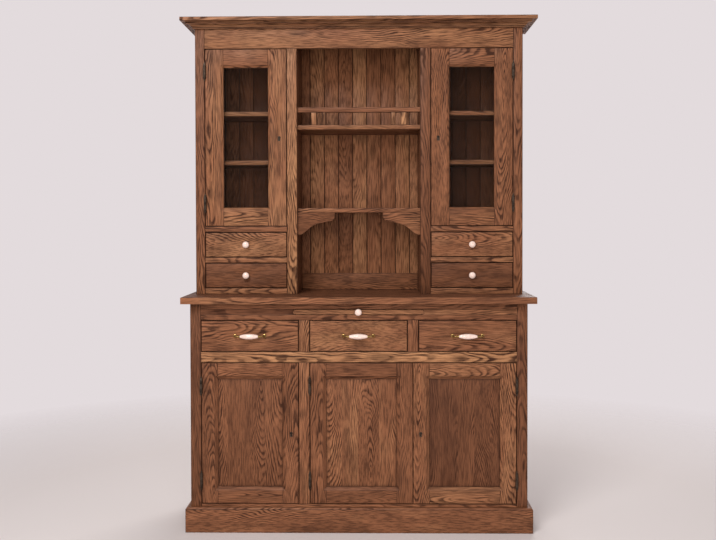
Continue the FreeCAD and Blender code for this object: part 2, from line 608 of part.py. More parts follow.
def bow_handle(x, z, y_face):
    """A brass bow on two rosettes, and the porcelain grip threaded on it between two cups."""
    foot = HANDLE_SPACING / 2
    straight = foot - HANDLE_BEND
    swell = HANDLE_BEND * math.sqrt(0.5)
    bend_out = HANDLE_REACH - HANDLE_BEND
    points = [(-foot, 0), (-foot, bend_out), (-straight - swell, bend_out + swell), (-straight, HANDLE_REACH)]
    start, knee, middle, run = [FreeCAD.Vector(across, -out, 0) for across, out in points]
    mirror = [FreeCAD.Vector(-point.x, point.y, 0) for point in (run, middle, knee, start)]
    path = Part.Wire([Part.makeLine(start, knee), Part.Arc(knee, middle, run).toShape(),
                      Part.makeLine(run, mirror[0]), Part.Arc(*mirror[:3]).toShape(),
                      Part.makeLine(mirror[2], mirror[3])])
    ring = Part.Wire(Part.makeCircle(HANDLE_ROD, start, FreeCAD.Vector(0, -1, 0)))
    bow = path.makePipeShell([ring], True, False)
    half = GRIP_LENGTH / 2
    cups = [Part.makeCone(HANDLE_CUP_RADIUS, HANDLE_CUP_TIP, HANDLE_CUP_LENGTH,
                          FreeCAD.Vector(side * (half + GRIP_CLEARANCE), -HANDLE_REACH, 0),
                          FreeCAD.Vector(side, 0, 0)) for side in (-1, 1)]
    bow = bow.fuse(cups).removeSplitter()
    feet = []
    for side in (-foot, foot):
        feet.append(rod(HANDLE_ROSETTE, (side, 0, 0), (side, -HANDLE_ROSETTE_HEIGHT, 0)))
        feet.append(rod(KNOB_SPIGOT, (side, KNOB_SPIGOT_LENGTH, 0), (side, -HANDLE_ROSETTE_HEIGHT, 0)))
    bow = bow.fuse(feet).removeSplitter()
    bore = HANDLE_ROD + GRIP_CLEARANCE
    edges = [line((-half, bore), (-half, GRIP_END_RADIUS)),
             arc((-half, GRIP_END_RADIUS), (0, GRIP_RADIUS), (half, GRIP_END_RADIUS)),
             line((half, GRIP_END_RADIUS), (half, bore)),
             line((half, bore), (-half, bore))]
    grip = Part.Face(Part.Wire(edges)).revolve(ORIGIN, X_AXIS, 360)
    grip.translate(FreeCAD.Vector(0, -HANDLE_REACH, 0))
    place = FreeCAD.Vector(x, y_face, z)
    return bow.translated(place), grip.translated(place)


def drawer(x0, x1, z0, z1, y_face, depth):
    """A drawer in an opening: front, two sides, back, and a bottom held in grooves."""
    left, right = x0 + DRAWER_GAP, x1 - DRAWER_GAP
    behind = y_face + DRAWER_FRONT
    end = y_face + depth
    low, high = z0 + SLIDE_CLEARANCE, z1 - DRAWER_HEADROOM
    bottom_low = low + DRAWER_BOTTOM_RISE
    bottom_high = bottom_low + DRAWER_BOTTOM
    inner_left, inner_right = left + DRAWER_SIDE, right - DRAWER_SIDE
    bottom = box(inner_left - DRAWER_GROOVE, inner_right + DRAWER_GROOVE, behind - DRAWER_GROOVE, end,
                 bottom_low, bottom_high)
    front = box(left, right, y_face, behind, z0 + DRAWER_GAP, z1 - DRAWER_GAP).cut(bottom)
    sides = [box(left, inner_left, behind, end, low, high).cut(bottom),
             box(inner_right, right, behind, end, low, high).cut(bottom)]
    back = box(inner_left, inner_right, end - DRAWER_SIDE, end, bottom_high, high)
    return [front] + sides + [back, bottom]


def bevel_cutter(x0, x1, z0, z1, y_face, depth, width):
    """The tapered block that bevels the inner front edges of a door frame."""
    rims = []
    for y, spread in ((y_face - depth, 2 * width), (y_face + depth, 0)):
        rims.append(polygon([(x0 - spread, y, z0 - spread), (x1 + spread, y, z0 - spread),
                             (x1 + spread, y, z1 + spread), (x0 - spread, y, z1 + spread)]))
    return Part.makeLoft(rims, True, True)


def door_frame(x0, x1, z0, z1, y_face, member, bevel_size, hollow):
    """Two stiles and two tenoned rails, bevelled inside, with a groove or rabbet cut by the hollow."""
    y_back = y_face + FACE_THICKNESS
    third = FACE_THICKNESS / 3
    stiles = [box(x0, x0 + member, y_face, y_back, z0, z1), box(x1 - member, x1, y_face, y_back, z0, z1)]
    rails, tenons = [], []
    for low, outer, inner in ((z0, DOOR_TENON_OUTER, DOOR_TENON_INNER),
                              (z1 - member, DOOR_TENON_INNER, DOOR_TENON_OUTER)):
        ends = [box(near, near + DOOR_TENON_LENGTH, y_face + third, y_back - third, low + outer,
                    low + member - inner) for near in (x0 + member - DOOR_TENON_LENGTH, x1 - member)]
        rail = box(x0 + member, x1 - member, y_face, y_back, low, low + member)
        rails.append(rail.fuse(ends).removeSplitter())
        tenons += ends
    bevel = bevel_cutter(x0 + member, x1 - member, z0 + member, z1 - member, y_face, *bevel_size)
    stiles = [stile.cut(tenons) for stile in stiles]
    return [member_solid.cut([bevel, hollow]) for member_solid in stiles + rails]


def glass_door(x0, x1, z0, z1):
    """A glazed door: frame with glazing beads, and its pane."""
    member = GLASS_DOOR_MEMBER
    sight = (x0 + member, x1 - member, z0 + member, z1 - member)
    glass_y = UPPER_Y + GLASS_SETBACK
    bevel_size = (GLASS_DOOR_BEVEL_DEPTH, GLASS_DOOR_BEVEL_WIDTH)
    back = UPPER_Y + FACE_THICKNESS

    def grown(by, y0, y1):
        return box(sight[0] - by, sight[1] + by, y0, y1, sight[2] - by, sight[3] + by)

    frame = door_frame(x0, x1, z0, z1, UPPER_Y, member, bevel_size, grown(RABBET_WIDTH, glass_y, back))
    pane = grown(GLASS_LAP, glass_y, glass_y + GLASS_THICKNESS)
    bead_y = glass_y + GLASS_THICKNESS
    beads = []
    for x in (sight[0] - RABBET_WIDTH, sight[1]):
        beads.append(box(x, x + RABBET_WIDTH, bead_y, back, sight[2] - RABBET_WIDTH, sight[3] + RABBET_WIDTH))
    for z in (sight[2] - RABBET_WIDTH, sight[3]):
        beads.append(box(sight[0], sight[1], bead_y, back, z, z + RABBET_WIDTH))
    return frame, beads, pane


def panel_door(x0, x1, z0, z1):
    """A panelled door: frame, and a flat panel loose in its grooves."""
    member = PANEL_DOOR_MEMBER
    y0 = BASE_Y + PANEL_SETBACK
    bevel_size = (PANEL_DOOR_BEVEL_DEPTH, PANEL_DOOR_BEVEL_WIDTH)
    grooves = [box(x0 + member - by, x1 - member + by, y0, y0 + PANEL_THICKNESS, z0 + member - by,
                   z1 - member + by) for by in (PANEL_GROOVE, PANEL_GROOVE - PANEL_SLACK)]
    frame = door_frame(x0, x1, z0, z1, BASE_Y, member, bevel_size, grooves[0])
    return frame, grooves[1]


def keyhole(x, y0, y1, z, grow):
    """A keyhole's round and slot, grown all round by the same wall."""
    half = KEYHOLE_SLOT / 2 + grow
    slot = box(x - half, x + half, y0, y1, z - KEYHOLE_DROP - grow, z)
    return rod(KEYHOLE_RADIUS + grow, (x, y0, z), (x, y1, z)).fuse(slot).removeSplitter()


def lock(edge_x, side, y_face, z):
    """A lock let into the free edge of a door: its pockets, its case with keyhole insert, and its bolt."""
    edge = edge_x * side
    case_end = edge - LOCK_SETBACK
    low_y = y_face + LOCK_FACE_WALL
    bolt_y = low_y + (LOCK_THICKNESS - BOLT_THICKNESS) / 2
    half = BOLT_HEIGHT / 2
    room = BOLT_CLEARANCE
    pocket = box(case_end - LOCK_LENGTH, edge, low_y, low_y + LOCK_THICKNESS, z - LOCK_HEIGHT / 2,
                 z + LOCK_HEIGHT / 2)
    case = box(case_end - LOCK_LENGTH, case_end, low_y, low_y + LOCK_THICKNESS, z - LOCK_HEIGHT / 2,
               z + LOCK_HEIGHT / 2)
    case = case.cut(box(case_end - BOLT_LENGTH - room, edge, bolt_y - room, bolt_y + BOLT_THICKNESS + room,
                        z - half - room, z + half + room))
    bolt = box(case_end - BOLT_LENGTH, case_end, bolt_y, bolt_y + BOLT_THICKNESS, z - half, z + half)
    key_x = edge - KEYHOLE_BACKSET
    hole = keyhole(key_x, y_face, low_y, z, 0)
    behind = y_face + INSERT_THICKNESS
    seat = keyhole(key_x, y_face, behind, z, INSERT_WALL + SPIGOT_CLEARANCE)
    insert = keyhole(key_x, y_face, behind, z, INSERT_WALL).cut(hole)
    pocket = pocket.fuse([seat, hole])
    return sided([pocket], side)[0], sided([case, insert], side), sided([bolt], side)


def ring(radius, x, y, z0, z1):
    """One hinge knuckle, bored for the pin."""
    outside = rod(radius, (x, y, z0), (x, y, z1))
    return outside.cut(rod(HINGE_PIN_RADIUS + PIN_CLEARANCE, (x, y, z0), (x, y, z1)))


def hinge(edge_x, side, y_face, z):
    """A hinge in a door gap. The edge is the stile's, and side tells which way the door lies from it."""
    stile = edge_x * side
    x = stile + DOOR_GAP / 2
    y = y_face - HINGE_STANDOFF - HINGE_RADIUS
    wall = (HINGE_PIN_RADIUS + HINGE_RADIUS) / 2
    leaf_y = y_face - HINGE_STANDOFF + KNUCKLE_CLEARANCE
    half = HINGE_KNUCKLE / 2
    low, high = z - half - HINGE_KNUCKLE, z + half + HINGE_KNUCKLE
    deep = y_face + HINGE_LEAF_DEPTH
    fixed_x = (stile, stile + HINGE_LEAF_THICKNESS)
    door_x = (stile + DOOR_GAP - HINGE_LEAF_THICKNESS, stile + DOOR_GAP)
    fixed = box(*fixed_x, leaf_y, deep, low, high)
    for z0, z1 in ((low, z - half), (z + half, high)):
        fixed = fixed.fuse([ring(HINGE_RADIUS, x, y, z0, z1), box(*fixed_x, y + wall, leaf_y, z0, z1)])
    z0, z1 = z - half + KNUCKLE_CLEARANCE, z + half - KNUCKLE_CLEARANCE
    moving = box(*door_x, leaf_y, deep, low, high)
    moving = moving.fuse([ring(HINGE_RADIUS, x, y, z0, z1), box(*door_x, y + wall, leaf_y, z0, z1)])
    pin = rod(HINGE_PIN_RADIUS, (x, y, low), (x, y, high))
    for end, way in ((low, -1), (high, 1)):
        place, axis = FreeCAD.Vector(x, y, end), FreeCAD.Vector(0, 0, way)
        pin = pin.fuse(Part.makeCone(HINGE_RADIUS, FINIAL_TIP_RADIUS, FINIAL_LENGTH, place, axis))
    return [sided([piece.removeSplitter()], side)[0] for piece in (fixed, moving, pin)]


def hinge_pair(edge_x, side, y_face, z0, z1):
    """The two hinges of one door, as lists of fixed leaves, door leaves and pins."""
    return list(zip(*[hinge(edge_x, side, y_face, z) for z in (z0 + HINGE_END_INSET, z1 - HINGE_END_INSET)]))


def flush_bolt():
    """The middle door's flush bolt: its channel in the stile, the plate that covers it, and its bar."""
    door_top = DOOR_HIGH - DOOR_GAP
    high = door_top - FLUSH_BOLT_SETDOWN
    low = high - FLUSH_BOLT_LENGTH
    channel = flush_bolt_box(BOLT_CLEARANCE, low, door_top)
    bar = flush_bolt_box(0, low, high)
    plate_low = low - FLUSH_BOLT_WIDTH
    right = PAIR_MEETING_LEFT - FLUSH_BOLT_EDGE
    plate_y = BASE_INSIDE_Y - FLUSH_BOLT_PLATE + BOLT_CLEARANCE
    plate = box(right - 2 * FLUSH_BOLT_WIDTH, right + FLUSH_BOLT_WIDTH, plate_y, BASE_INSIDE_Y, plate_low,
                door_top)
    return channel.fuse(plate), [plate], [bar]


def upper_doors():
    """Both glass doors, as node names with their solids, and their fixed hinge parts."""
    nodes, fixed, pins = {}, [], []
    z0, z1 = GLASS_LOW + DOOR_GAP, GLASS_HIGH - DOOR_GAP
    middle = (GLASS_LOW + GLASS_HIGH) / 2
    x0, x1 = CUPBOARD_INNER + DOOR_GAP, CUPBOARD_OUTER - DOOR_GAP
    frame, beads, pane = glass_door(x0, x1, z0, z1)
    pocket, case, bolt = lock(x0, -1, UPPER_Y, middle)
    frame = [piece.cut(pocket) for piece in frame]
    leaves = hinge_pair(CUPBOARD_OUTER, -1, UPPER_Y, z0, z1)
    for side, name in ((-1, "upper_left_door"), (1, "upper_right_door")):
        nodes[name + "_frame"] = sided(frame + beads, side)
        nodes[name + "_glass"] = sided([pane], side)
        nodes[name + "_metal"] = sided(list(leaves[1]) + case, side)
        nodes[name + "_bolt"] = sided(bolt, side)
        fixed += sided(leaves[0], side)
        pins += sided(leaves[2], side)
    return nodes, fixed, pins


def lower_doors():
    """The three panelled doors, as node names with their solids, and their fixed hinge parts."""
    nodes, fixed, pins = {}, [], []
    z0, z1 = DOOR_LOW + DOOR_GAP, DOOR_HIGH - DOOR_GAP
    middle = (DOOR_LOW + DOOR_HIGH) / 2
    doors = (("lower_left_door", -BASE_OPENING + DOOR_GAP, -DIVIDER_OUTER - DOOR_GAP, -BASE_OPENING, 1),
             ("lower_middle_door", -DIVIDER_INNER + DOOR_GAP, PAIR_MEETING_LEFT, -DIVIDER_INNER, 1),
             ("lower_right_door", PAIR_MEETING_RIGHT, BASE_OPENING - DOOR_GAP, BASE_OPENING, -1))
    for name, x0, x1, stile_edge, side in doors:
        frame, panel = panel_door(x0, x1, z0, z1)
        if name == "lower_middle_door":
            pocket, metal, bolt = flush_bolt()
            pocket = pocket.fuse(keeper(PAIR_MEETING_LEFT, -1, BASE_Y, middle))
        else:
            pocket, metal, bolt = lock(x1 if side > 0 else x0, side, BASE_Y, middle)
        leaves = hinge_pair(stile_edge, side, BASE_Y, z0, z1)
        nodes[name + "_frame"] = [piece.cut(pocket) for piece in frame] + [panel]
        nodes[name + "_metal"] = list(leaves[1]) + metal
        nodes[name + "_bolt"] = bolt
        fixed += leaves[0]
        pins += leaves[2]
    return nodes, fixed, pins


def small_drawers():
    """Four small drawers under the glass cupboards, each with a knob."""
    nodes = {}
    x = (CUPBOARD_INNER + CUPBOARD_OUTER) / 2
    for level, low in (("bottom", SMALL_LOW), ("top", SMALL_HIGH)):
        solids = drawer(CUPBOARD_INNER, CUPBOARD_OUTER, low, low + SMALL_DRAWER_OPENING, UPPER_Y,
                        SMALL_DRAWER_DEPTH)
        z = low + SMALL_DRAWER_OPENING / 2
        solids[0] = solids[0].cut(spigot_hole(x, z, UPPER_Y))
        for side, word in ((-1, "left"), (1, "right")):
            nodes["small_drawer_" + word + "_" + level] = sided(solids, side)
            nodes["small_knob_" + word + "_" + level] = sided([knob(x, z, UPPER_Y)], side)
    return nodes


def large_drawers():
    """Three large drawers under the countertop, each with a bow handle."""
    nodes = {}
    z = DECK_Z + LARGE_DRAWER_OPENING / 2
    step = DRAWER_OPENING_WIDTH + DIVIDER_WIDTH
    for word, x in (("left", -step), ("middle", 0.0), ("right", step)):
        solids = drawer(x - DIVIDER_INNER, x + DIVIDER_INNER, DECK_Z, DRAWER_HIGH, BASE_Y, LARGE_DRAWER_DEPTH)
        for foot in (-HANDLE_SPACING / 2, HANDLE_SPACING / 2):
            solids[0] = solids[0].cut(spigot_hole(x + foot, z, BASE_Y))
        bow, grip = bow_handle(x, z, BASE_Y)
        nodes["large_drawer_" + word] = solids
        nodes["large_handle_" + word] = [bow]
        nodes["large_grip_" + word] = [grip]
    return nodes


def pullout():
    """The pull-out board above the middle drawer, with round side edges, and its knob."""
    flat = PULLOUT_WIDTH / 2 - PULLOUT_THICKNESS / 2
    z = (PULLOUT_LOW + PULLOUT_HIGH) / 2
    front = BASE_Y - PULLOUT_PROUD
    end = BASE_Y + PULLOUT_DEPTH
    edges = [rod(PULLOUT_THICKNESS / 2, (x, front, z), (x, end, z)) for x in (-flat, flat)]
    board = box(-flat, flat, front, end, PULLOUT_LOW, PULLOUT_HIGH).fuse(edges).removeSplitter()
    return {"pullout_board": [board.cut(spigot_hole(0, z, front))], "pullout_knob": [knob(0, z, front)]}


def carcass():
    """Every fixed piece of both cabinets apart from the hinges."""
    base_stiles, base_rails = base_frame()
    upper_stiles, upper_rails = upper_frame()
    shelves, cleats = shelves_and_cleats()
    niche_shelves, gallery, back_rail, brackets = niche()
    upper_side = box(SIDE_INNER, HALF, UPPER_INSIDE_Y, BACK_Y, COUNTER_Z, UPPER_BODY_TOP)
    partition = box(NICHE_HALF, PARTITION_OUTER, UPPER_INSIDE_Y, BACKING_Y, COUNTER_Z, UPPER_BODY_TOP)
    return {
        "plinth": plinth(),
        "base_sides": both([box(SIDE_INNER, HALF, BASE_INSIDE_Y, BACK_Y, 0, BASE_TOP)]),
        "base_face_stiles": base_stiles,
        "base_face_rails": base_rails,
        "base_inner_boards": base_inner_boards(),
        "base_back_boards": back_boards(DOOR_LOW - DECK_THICKNESS, BASE_TOP, BASE_BOARD_WIDTH),
        "cupboard_shelves": shelves,
        "countertop": [countertop()],
        "upper_sides": both([upper_side]),
        "upper_partitions": both([partition]),
        "cabinet_decks": cabinet_decks(),
        "upper_top": [box(-HALF, HALF, UPPER_Y, BACK_Y, UPPER_BODY_TOP, UPPER_BODY_TOP + TOP_THICKNESS)],
        "cornice": cornice(),
        "upper_face_stiles": upper_stiles,
        "upper_face_rails": upper_rails,
        "upper_back_boards": back_boards(COUNTER_Z, UPPER_BODY_TOP, UPPER_BOARD_WIDTH),
        "niche_back_rail": back_rail,
        "niche_shelves": niche_shelves,
        "gallery_rail": gallery,
        "shelf_brackets": brackets,
        "cleats_and_stops": cleats,
        "drawer_guides": drawer_guides(),
    }


def main():
    """Build every node and write it."""
    os.makedirs("parts", exist_ok=True)
    nodes = carcass()
    fixed_leaves, pins = [], []
    for doors in (upper_doors(), lower_doors()):
        nodes.update(doors[0])
        fixed_leaves += doors[1]
        pins += doors[2]
    nodes["frame_hinge_leaves"] = fixed_leaves
    nodes["hinge_pins"] = pins
    nodes.update(small_drawers())
    nodes.update(large_drawers())
    nodes.update(pullout())
    for node, solids in nodes.items():
        save(node, solids)
    print(len(nodes), "nodes,", sum(len(solids) for solids in nodes.values()), "solids")


main()
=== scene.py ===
import logging
import math
import random
from collections import Counter
from dataclasses import dataclass, field
from enum import Enum, IntEnum
from typing import Iterable

import bmesh
import bpy
from mathutils import Matrix, Vector


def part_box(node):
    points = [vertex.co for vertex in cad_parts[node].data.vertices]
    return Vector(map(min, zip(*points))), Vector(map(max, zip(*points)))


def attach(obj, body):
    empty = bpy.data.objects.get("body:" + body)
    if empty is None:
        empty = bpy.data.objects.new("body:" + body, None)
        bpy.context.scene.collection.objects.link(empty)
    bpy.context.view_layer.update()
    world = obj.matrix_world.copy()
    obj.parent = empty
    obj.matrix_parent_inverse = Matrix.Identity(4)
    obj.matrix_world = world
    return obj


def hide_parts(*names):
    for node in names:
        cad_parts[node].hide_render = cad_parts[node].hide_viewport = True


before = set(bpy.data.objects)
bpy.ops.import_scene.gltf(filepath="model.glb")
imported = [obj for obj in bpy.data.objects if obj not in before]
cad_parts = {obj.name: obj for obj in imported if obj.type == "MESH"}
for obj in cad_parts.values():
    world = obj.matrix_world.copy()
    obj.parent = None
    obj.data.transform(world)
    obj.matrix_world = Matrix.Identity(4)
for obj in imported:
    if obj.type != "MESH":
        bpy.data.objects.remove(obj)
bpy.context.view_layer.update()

LOG = logging.getLogger("hutch")
MM = 0.001

# Values kept at each corner of a board: its place in the log, its stain (lighter on narrow sides as a
# painted highlight), and its eased edges, darkened as dirt and as painted shade in the gaps between boards.
GRAIN, TONE, ARRIS = "grain", "tone", "arris"

# Faces that meet at a sharper angle than these are shaded with a crease.
BOARD_CREASE = math.radians(25)
TURNED_CREASE = math.radians(40)


class Slot(Enum):
    """The material slots of the hutch, by the names of its record."""

    OAK = "stained_oak"
    BACKING = "back_boards"
    GLASS = "window_glass"
    PORCELAIN = "porcelain"
    BRASS = "antique_brass"
    IRON = "dark_iron"
    STEEL = "bolt_steel"


Finishes = dict[Slot, bpy.types.Material]


def linear(code: str) -> tuple[float, float, float, float]:
    """Turn an sRGB hex colour into linear light.

    Args:
        code: Six hex digits after a hash sign.

    Returns:
        Red, green, blue and a full alpha.
    """
    parts = [int(code[i:i + 2], 16) / 255 for i in (1, 3, 5)]
    red, green, blue = (c / 12.92 if c <= 0.04045 else ((c + 0.055) / 1.055) ** 2.4 for c in parts)
    return red, green, blue, 1.0


def add(tree: bpy.types.NodeTree, kind: str, inputs: dict | None = None, stops: tuple = (),
        **settings: object) -> bpy.types.Node:
    """Add one node with its settings, values and links.

    Args:
        tree: The node tree that takes the node.
        kind: The node's type, without the leading ShaderNode.
        inputs: Values or linked sockets by the input's name or number.
        stops: Places and values of a colour ramp, where the node is one.
        settings: The node's own properties.

    Returns:
        The new node.
    """
    node = tree.nodes.new("ShaderNode" + kind)
    for name, value in settings.items():
        setattr(node, name, value)
    for place, value in (inputs or {}).items():
        if isinstance(value, bpy.types.NodeSocket):
            tree.links.new(value, node.inputs[place])
        else:
            node.inputs[place].default_value = value
    for number, (position, value) in enumerate(stops):
        elements = node.color_ramp.elements
        stop = elements[number] if number < 2 else elements.new(position)
        stop.position = position
        stop.color = linear(value) if isinstance(value, str) else (value, value, value, 1.0)
    return node


def blank(name: str) -> tuple[bpy.types.Material, bpy.types.NodeTree, bpy.types.Node]:
    """Make a material that holds only its shader.

    Args:
        name: The material's name.

    Returns:
        The material, its node tree and its Principled shader.
    """
    material = bpy.data.materials.new(name)
    material.use_nodes = True
    tree = material.node_tree
    return material, tree, tree.nodes["Principled BSDF"]


@dataclass(frozen=True)
class StainedOak:
    """Flat-sawn oak, planed, stained and waxed.

    The eye gets cathedral figure from rings cut at a slant, short dark pores in the early wood, stain that
    took unevenly from board to board, painted shade in corners and recesses, eased edges darkened both by
    dirt and as painted shade in the gaps between boards, and a low wax sheen that breaks up over the pores.

    Attributes:
        name: The material's name.
        dark: The colour where the stain took most.
        middle: The colour of the usual stain.
        light: The colour where the stain took least.
        grain: The colour of rings, pores and grime.
        ring_mm: The width of a year's ring.
        ring_depth: How strongly the rings show.
        pore_depth: How strongly the pores show.
        waver_rings: By how many rings the figure wavers slowly.
        wiggle_rings: By how many rings it wiggles closely.
        corner_shade_mm: How far the painted shade reaches out of a corner.
        smudge_depth: How strongly smudges show.
        arris_depth: How strongly the eased edges darken, as dirt and as painted shade in the gaps between
            boards.
        wax: How strongly the wax reflects.
    """

    name: str
    dark: str
    middle: str
    light: str
    grain: str
    ring_mm: float = 4.6
    ring_depth: float = 0.8
    pore_depth: float = 0.44
    waver_rings: float = 5.5
    wiggle_rings: float = 0.55
    corner_shade_mm: float = 15.0
    smudge_depth: float = 0.5
    arris_depth: float = 0.6
    wax: float = 0.25

    def streaks(self, tree: bpy.types.NodeTree, place: bpy.types.NodeSocket, across: float, along: float,
                detail: float) -> bpy.types.NodeSocket:
        """Draw blotches that are stretched along the grain.

        Args:
            tree: The material's node tree.
            place: The place in the log of each point.
            across: A blotch's width in millimetres.
            along: A blotch's length in millimetres.
            detail: How many finer layers the blotches get.

        Returns:
            A value of about 0 to 1.
        """
        scale = (1 / (across * MM), 1 / (across * MM), 1 / (along * MM))
        stretched = add(tree, "Mapping", {"Vector": place, "Scale": scale}).outputs[0]
        return add(tree, "TexNoise", {"Vector": stretched, "Scale": 1.0, "Detail": detail}).outputs[0]

    def make(self) -> bpy.types.Material:
        """Build the oak's material.

        Returns:
            The material.
        """
        material, tree, shader = blank(self.name)
        place = add(tree, "Attribute", attribute_name=GRAIN).outputs["Vector"]
        board = add(tree, "Attribute", attribute_name=TONE).outputs["Fac"]
        arris = add(tree, "Attribute", attribute_name=ARRIS).outputs["Fac"]
        # Each pattern by its width and its length in millimetres, then by its finer layers.
        waver = self.streaks(tree, place, 60.0, 190.0, 1.0)
        wiggle = self.streaks(tree, place, 12.0, 36.0, 1.0)
        patches = self.streaks(tree, place, 70.0, 240.0, 3.0)
        flecks = self.streaks(tree, place, 45.0, 170.0, 1.0)
        smudges = self.streaks(tree, place, 48.0, 120.0, 4.0)
        # Pores are about 0.3 mm wide; drawn at 4 mm, so that they show at this size.
        pores = self.streaks(tree, place, 4.0, 100.0, 2.0)

        flat = add(tree, "VectorMath", {0: place, 1: (1.0, 1.0, 0.0)}, operation="MULTIPLY").outputs[0]
        radius = add(tree, "VectorMath", {0: flat}, operation="LENGTH").outputs["Value"]
        turns = add(tree, "Math", {0: radius, 1: 1 / (self.ring_mm * MM)}, operation="MULTIPLY").outputs[0]
        bent = add(tree, "Math", {0: waver, 1: self.waver_rings, 2: turns},
                   operation="MULTIPLY_ADD").outputs[0]
        shaken = add(tree, "Math", {0: wiggle, 1: self.wiggle_rings, 2: bent},
                     operation="MULTIPLY_ADD").outputs[0]
        ring = add(tree, "Math", {0: shaken}, operation="FRACT").outputs[0]
        rings = add(tree, "ValToRGB", {0: ring}, stops=((0.0, 0.35), (1.0, 0.3), (0.08, 1.0), (0.3, 0.85),
                                                        (0.52, 0.14), (0.86, 0.0))).outputs[0]
        lines = add(tree, "ValToRGB", {0: pores}, stops=((0.4, 1.0), (0.56, 0.0))).outputs[0]
        strong = add(tree, "MapRange", {0: flecks, 1: 0.35, 2: 0.6, 3: 0.4, 4: 1.0}).outputs[0]
        ringed = add(tree, "Math", {0: rings, 1: strong}, operation="MULTIPLY").outputs[0]
        figure = add(tree, "Math", {0: ringed, 1: self.ring_depth}, operation="MULTIPLY").outputs[0]
        pored = add(tree, "Math", {0: lines, 1: self.pore_depth, 2: figure}, operation="MULTIPLY_ADD",
                    use_clamp=True).outputs[0]

        spread = add(tree, "Math", {0: patches, 1: -0.5}, operation="ADD").outputs[0]
        stain = add(tree, "Math", {0: spread, 1: 0.5, 2: board}, operation="MULTIPLY_ADD",
                    use_clamp=True).outputs[0]
        ground = add(tree, "ValToRGB", {0: stain}, stops=((0.1, self.dark), (0.9, self.light),
                                                          (0.5, self.middle))).outputs[0]
        figured = add(tree, "Mix", {0: pored, 6: ground, 7: linear(self.grain)},
                      data_type="RGBA").outputs[2]
        # Painted shade: ambient occlusion within the piece darkens its corners, its recesses and the
        # grooves between its boards.
        inner = add(tree, "AmbientOcclusion", {"Distance": self.corner_shade_mm * MM}, samples=8, only_local=True)
        recess_shade = add(tree, "MapRange", {0: inner.outputs["AO"], 1: 0.98, 2: 0.7, 3: 0.0,
                                        4: 0.85}).outputs[0]
        rubbed = add(tree, "MapRange", {0: smudges, 1: 0.54, 2: 0.72, 3: 0.0,
                                        4: self.smudge_depth}).outputs[0]
        # The painted corner shade and the random smudges of dirt add up here.
        shade_and_smudges = add(tree, "Math", {0: recess_shade, 1: rubbed}, operation="ADD").outputs[0]
        # The eased edges darken as dirt and as painted shade in the gaps between boards, on top of the
        # painted corner shade and the smudges.
        edge = add(tree, "Math", {0: arris, 1: self.arris_depth, 2: shade_and_smudges}, operation="MULTIPLY_ADD",
                   use_clamp=True).outputs[0]
        grimed_and_shaded = add(tree, "Mix", {0: edge, 6: figured, 7: linear(self.grain)}, data_type="RGBA").outputs[2]
        tree.links.new(grimed_and_shaded, shader.inputs["Base Color"])

        sheen = add(tree, "MapRange", {0: pored, 3: 0.44, 4: 0.72}).outputs[0]
        tree.links.new(sheen, shader.inputs["Roughness"])
        hollow = add(tree, "Bump", {"Height": pored, "Strength": 0.35, "Distance": 0.5 * MM}, invert=True)
        tree.links.new(hollow.outputs[0], shader.inputs["Normal"])
        shader.inputs["IOR"].default_value = 1.5
        shader.inputs["Specular IOR Level"].default_value = self.wax
        return material


@dataclass(frozen=True)
class CastMetal:
    """Cast or turned furniture metal, rubbed bright where hands and turning wear it, dull elsewhere.

    Attributes:
        name: The material's name.
        bright: The colour where it is rubbed.
        dull: The colour of its patina.
        smooth: The roughness where it is rubbed.
        rough: The roughness of its patina.
        grit_mm: The size of its casting grit.
        metallic: How far bare metal shows.
        patina_mm: The size of the patina's patches.
    """

    name: str
    bright: str
    dull: str
    smooth: float
    rough: float
    grit_mm: float
    metallic: float = 1.0
    patina_mm: float = 14.0

    def make(self) -> bpy.types.Material:
        """Build the metal's material.

        Returns:
            The material.
        """
        material, tree, shader = blank(self.name)
        place = add(tree, "TexCoord").outputs["Object"]
        patina = add(tree, "TexNoise", {"Vector": place, "Scale": 1 / (self.patina_mm * MM),
                                        "Detail": 4.0}).outputs[0]
        # Casting grit is under 0.5 mm; drawn at the size given, so that it shows.
        grit = add(tree, "TexNoise", {"Vector": place, "Scale": 1 / (self.grit_mm * MM),
                                      "Detail": 3.0}).outputs[0]
        worn = add(tree, "MapRange", {0: patina, 1: 0.35, 2: 0.68}).outputs[0]
        colour = add(tree, "Mix", {0: worn, 6: linear(self.bright), 7: linear(self.dull)},
                     data_type="RGBA").outputs[2]
        tree.links.new(colour, shader.inputs["Base Color"])
        gloss = add(tree, "MapRange", {0: worn, 3: self.smooth, 4: self.rough}).outputs[0]
        tree.links.new(gloss, shader.inputs["Roughness"])
        pitted = add(tree, "Bump", {"Height": grit, "Strength": 0.25, "Distance": 0.2 * MM}).outputs[0]
        tree.links.new(pitted, shader.inputs["Normal"])
        shader.inputs["Metallic"].default_value = self.metallic
        return material


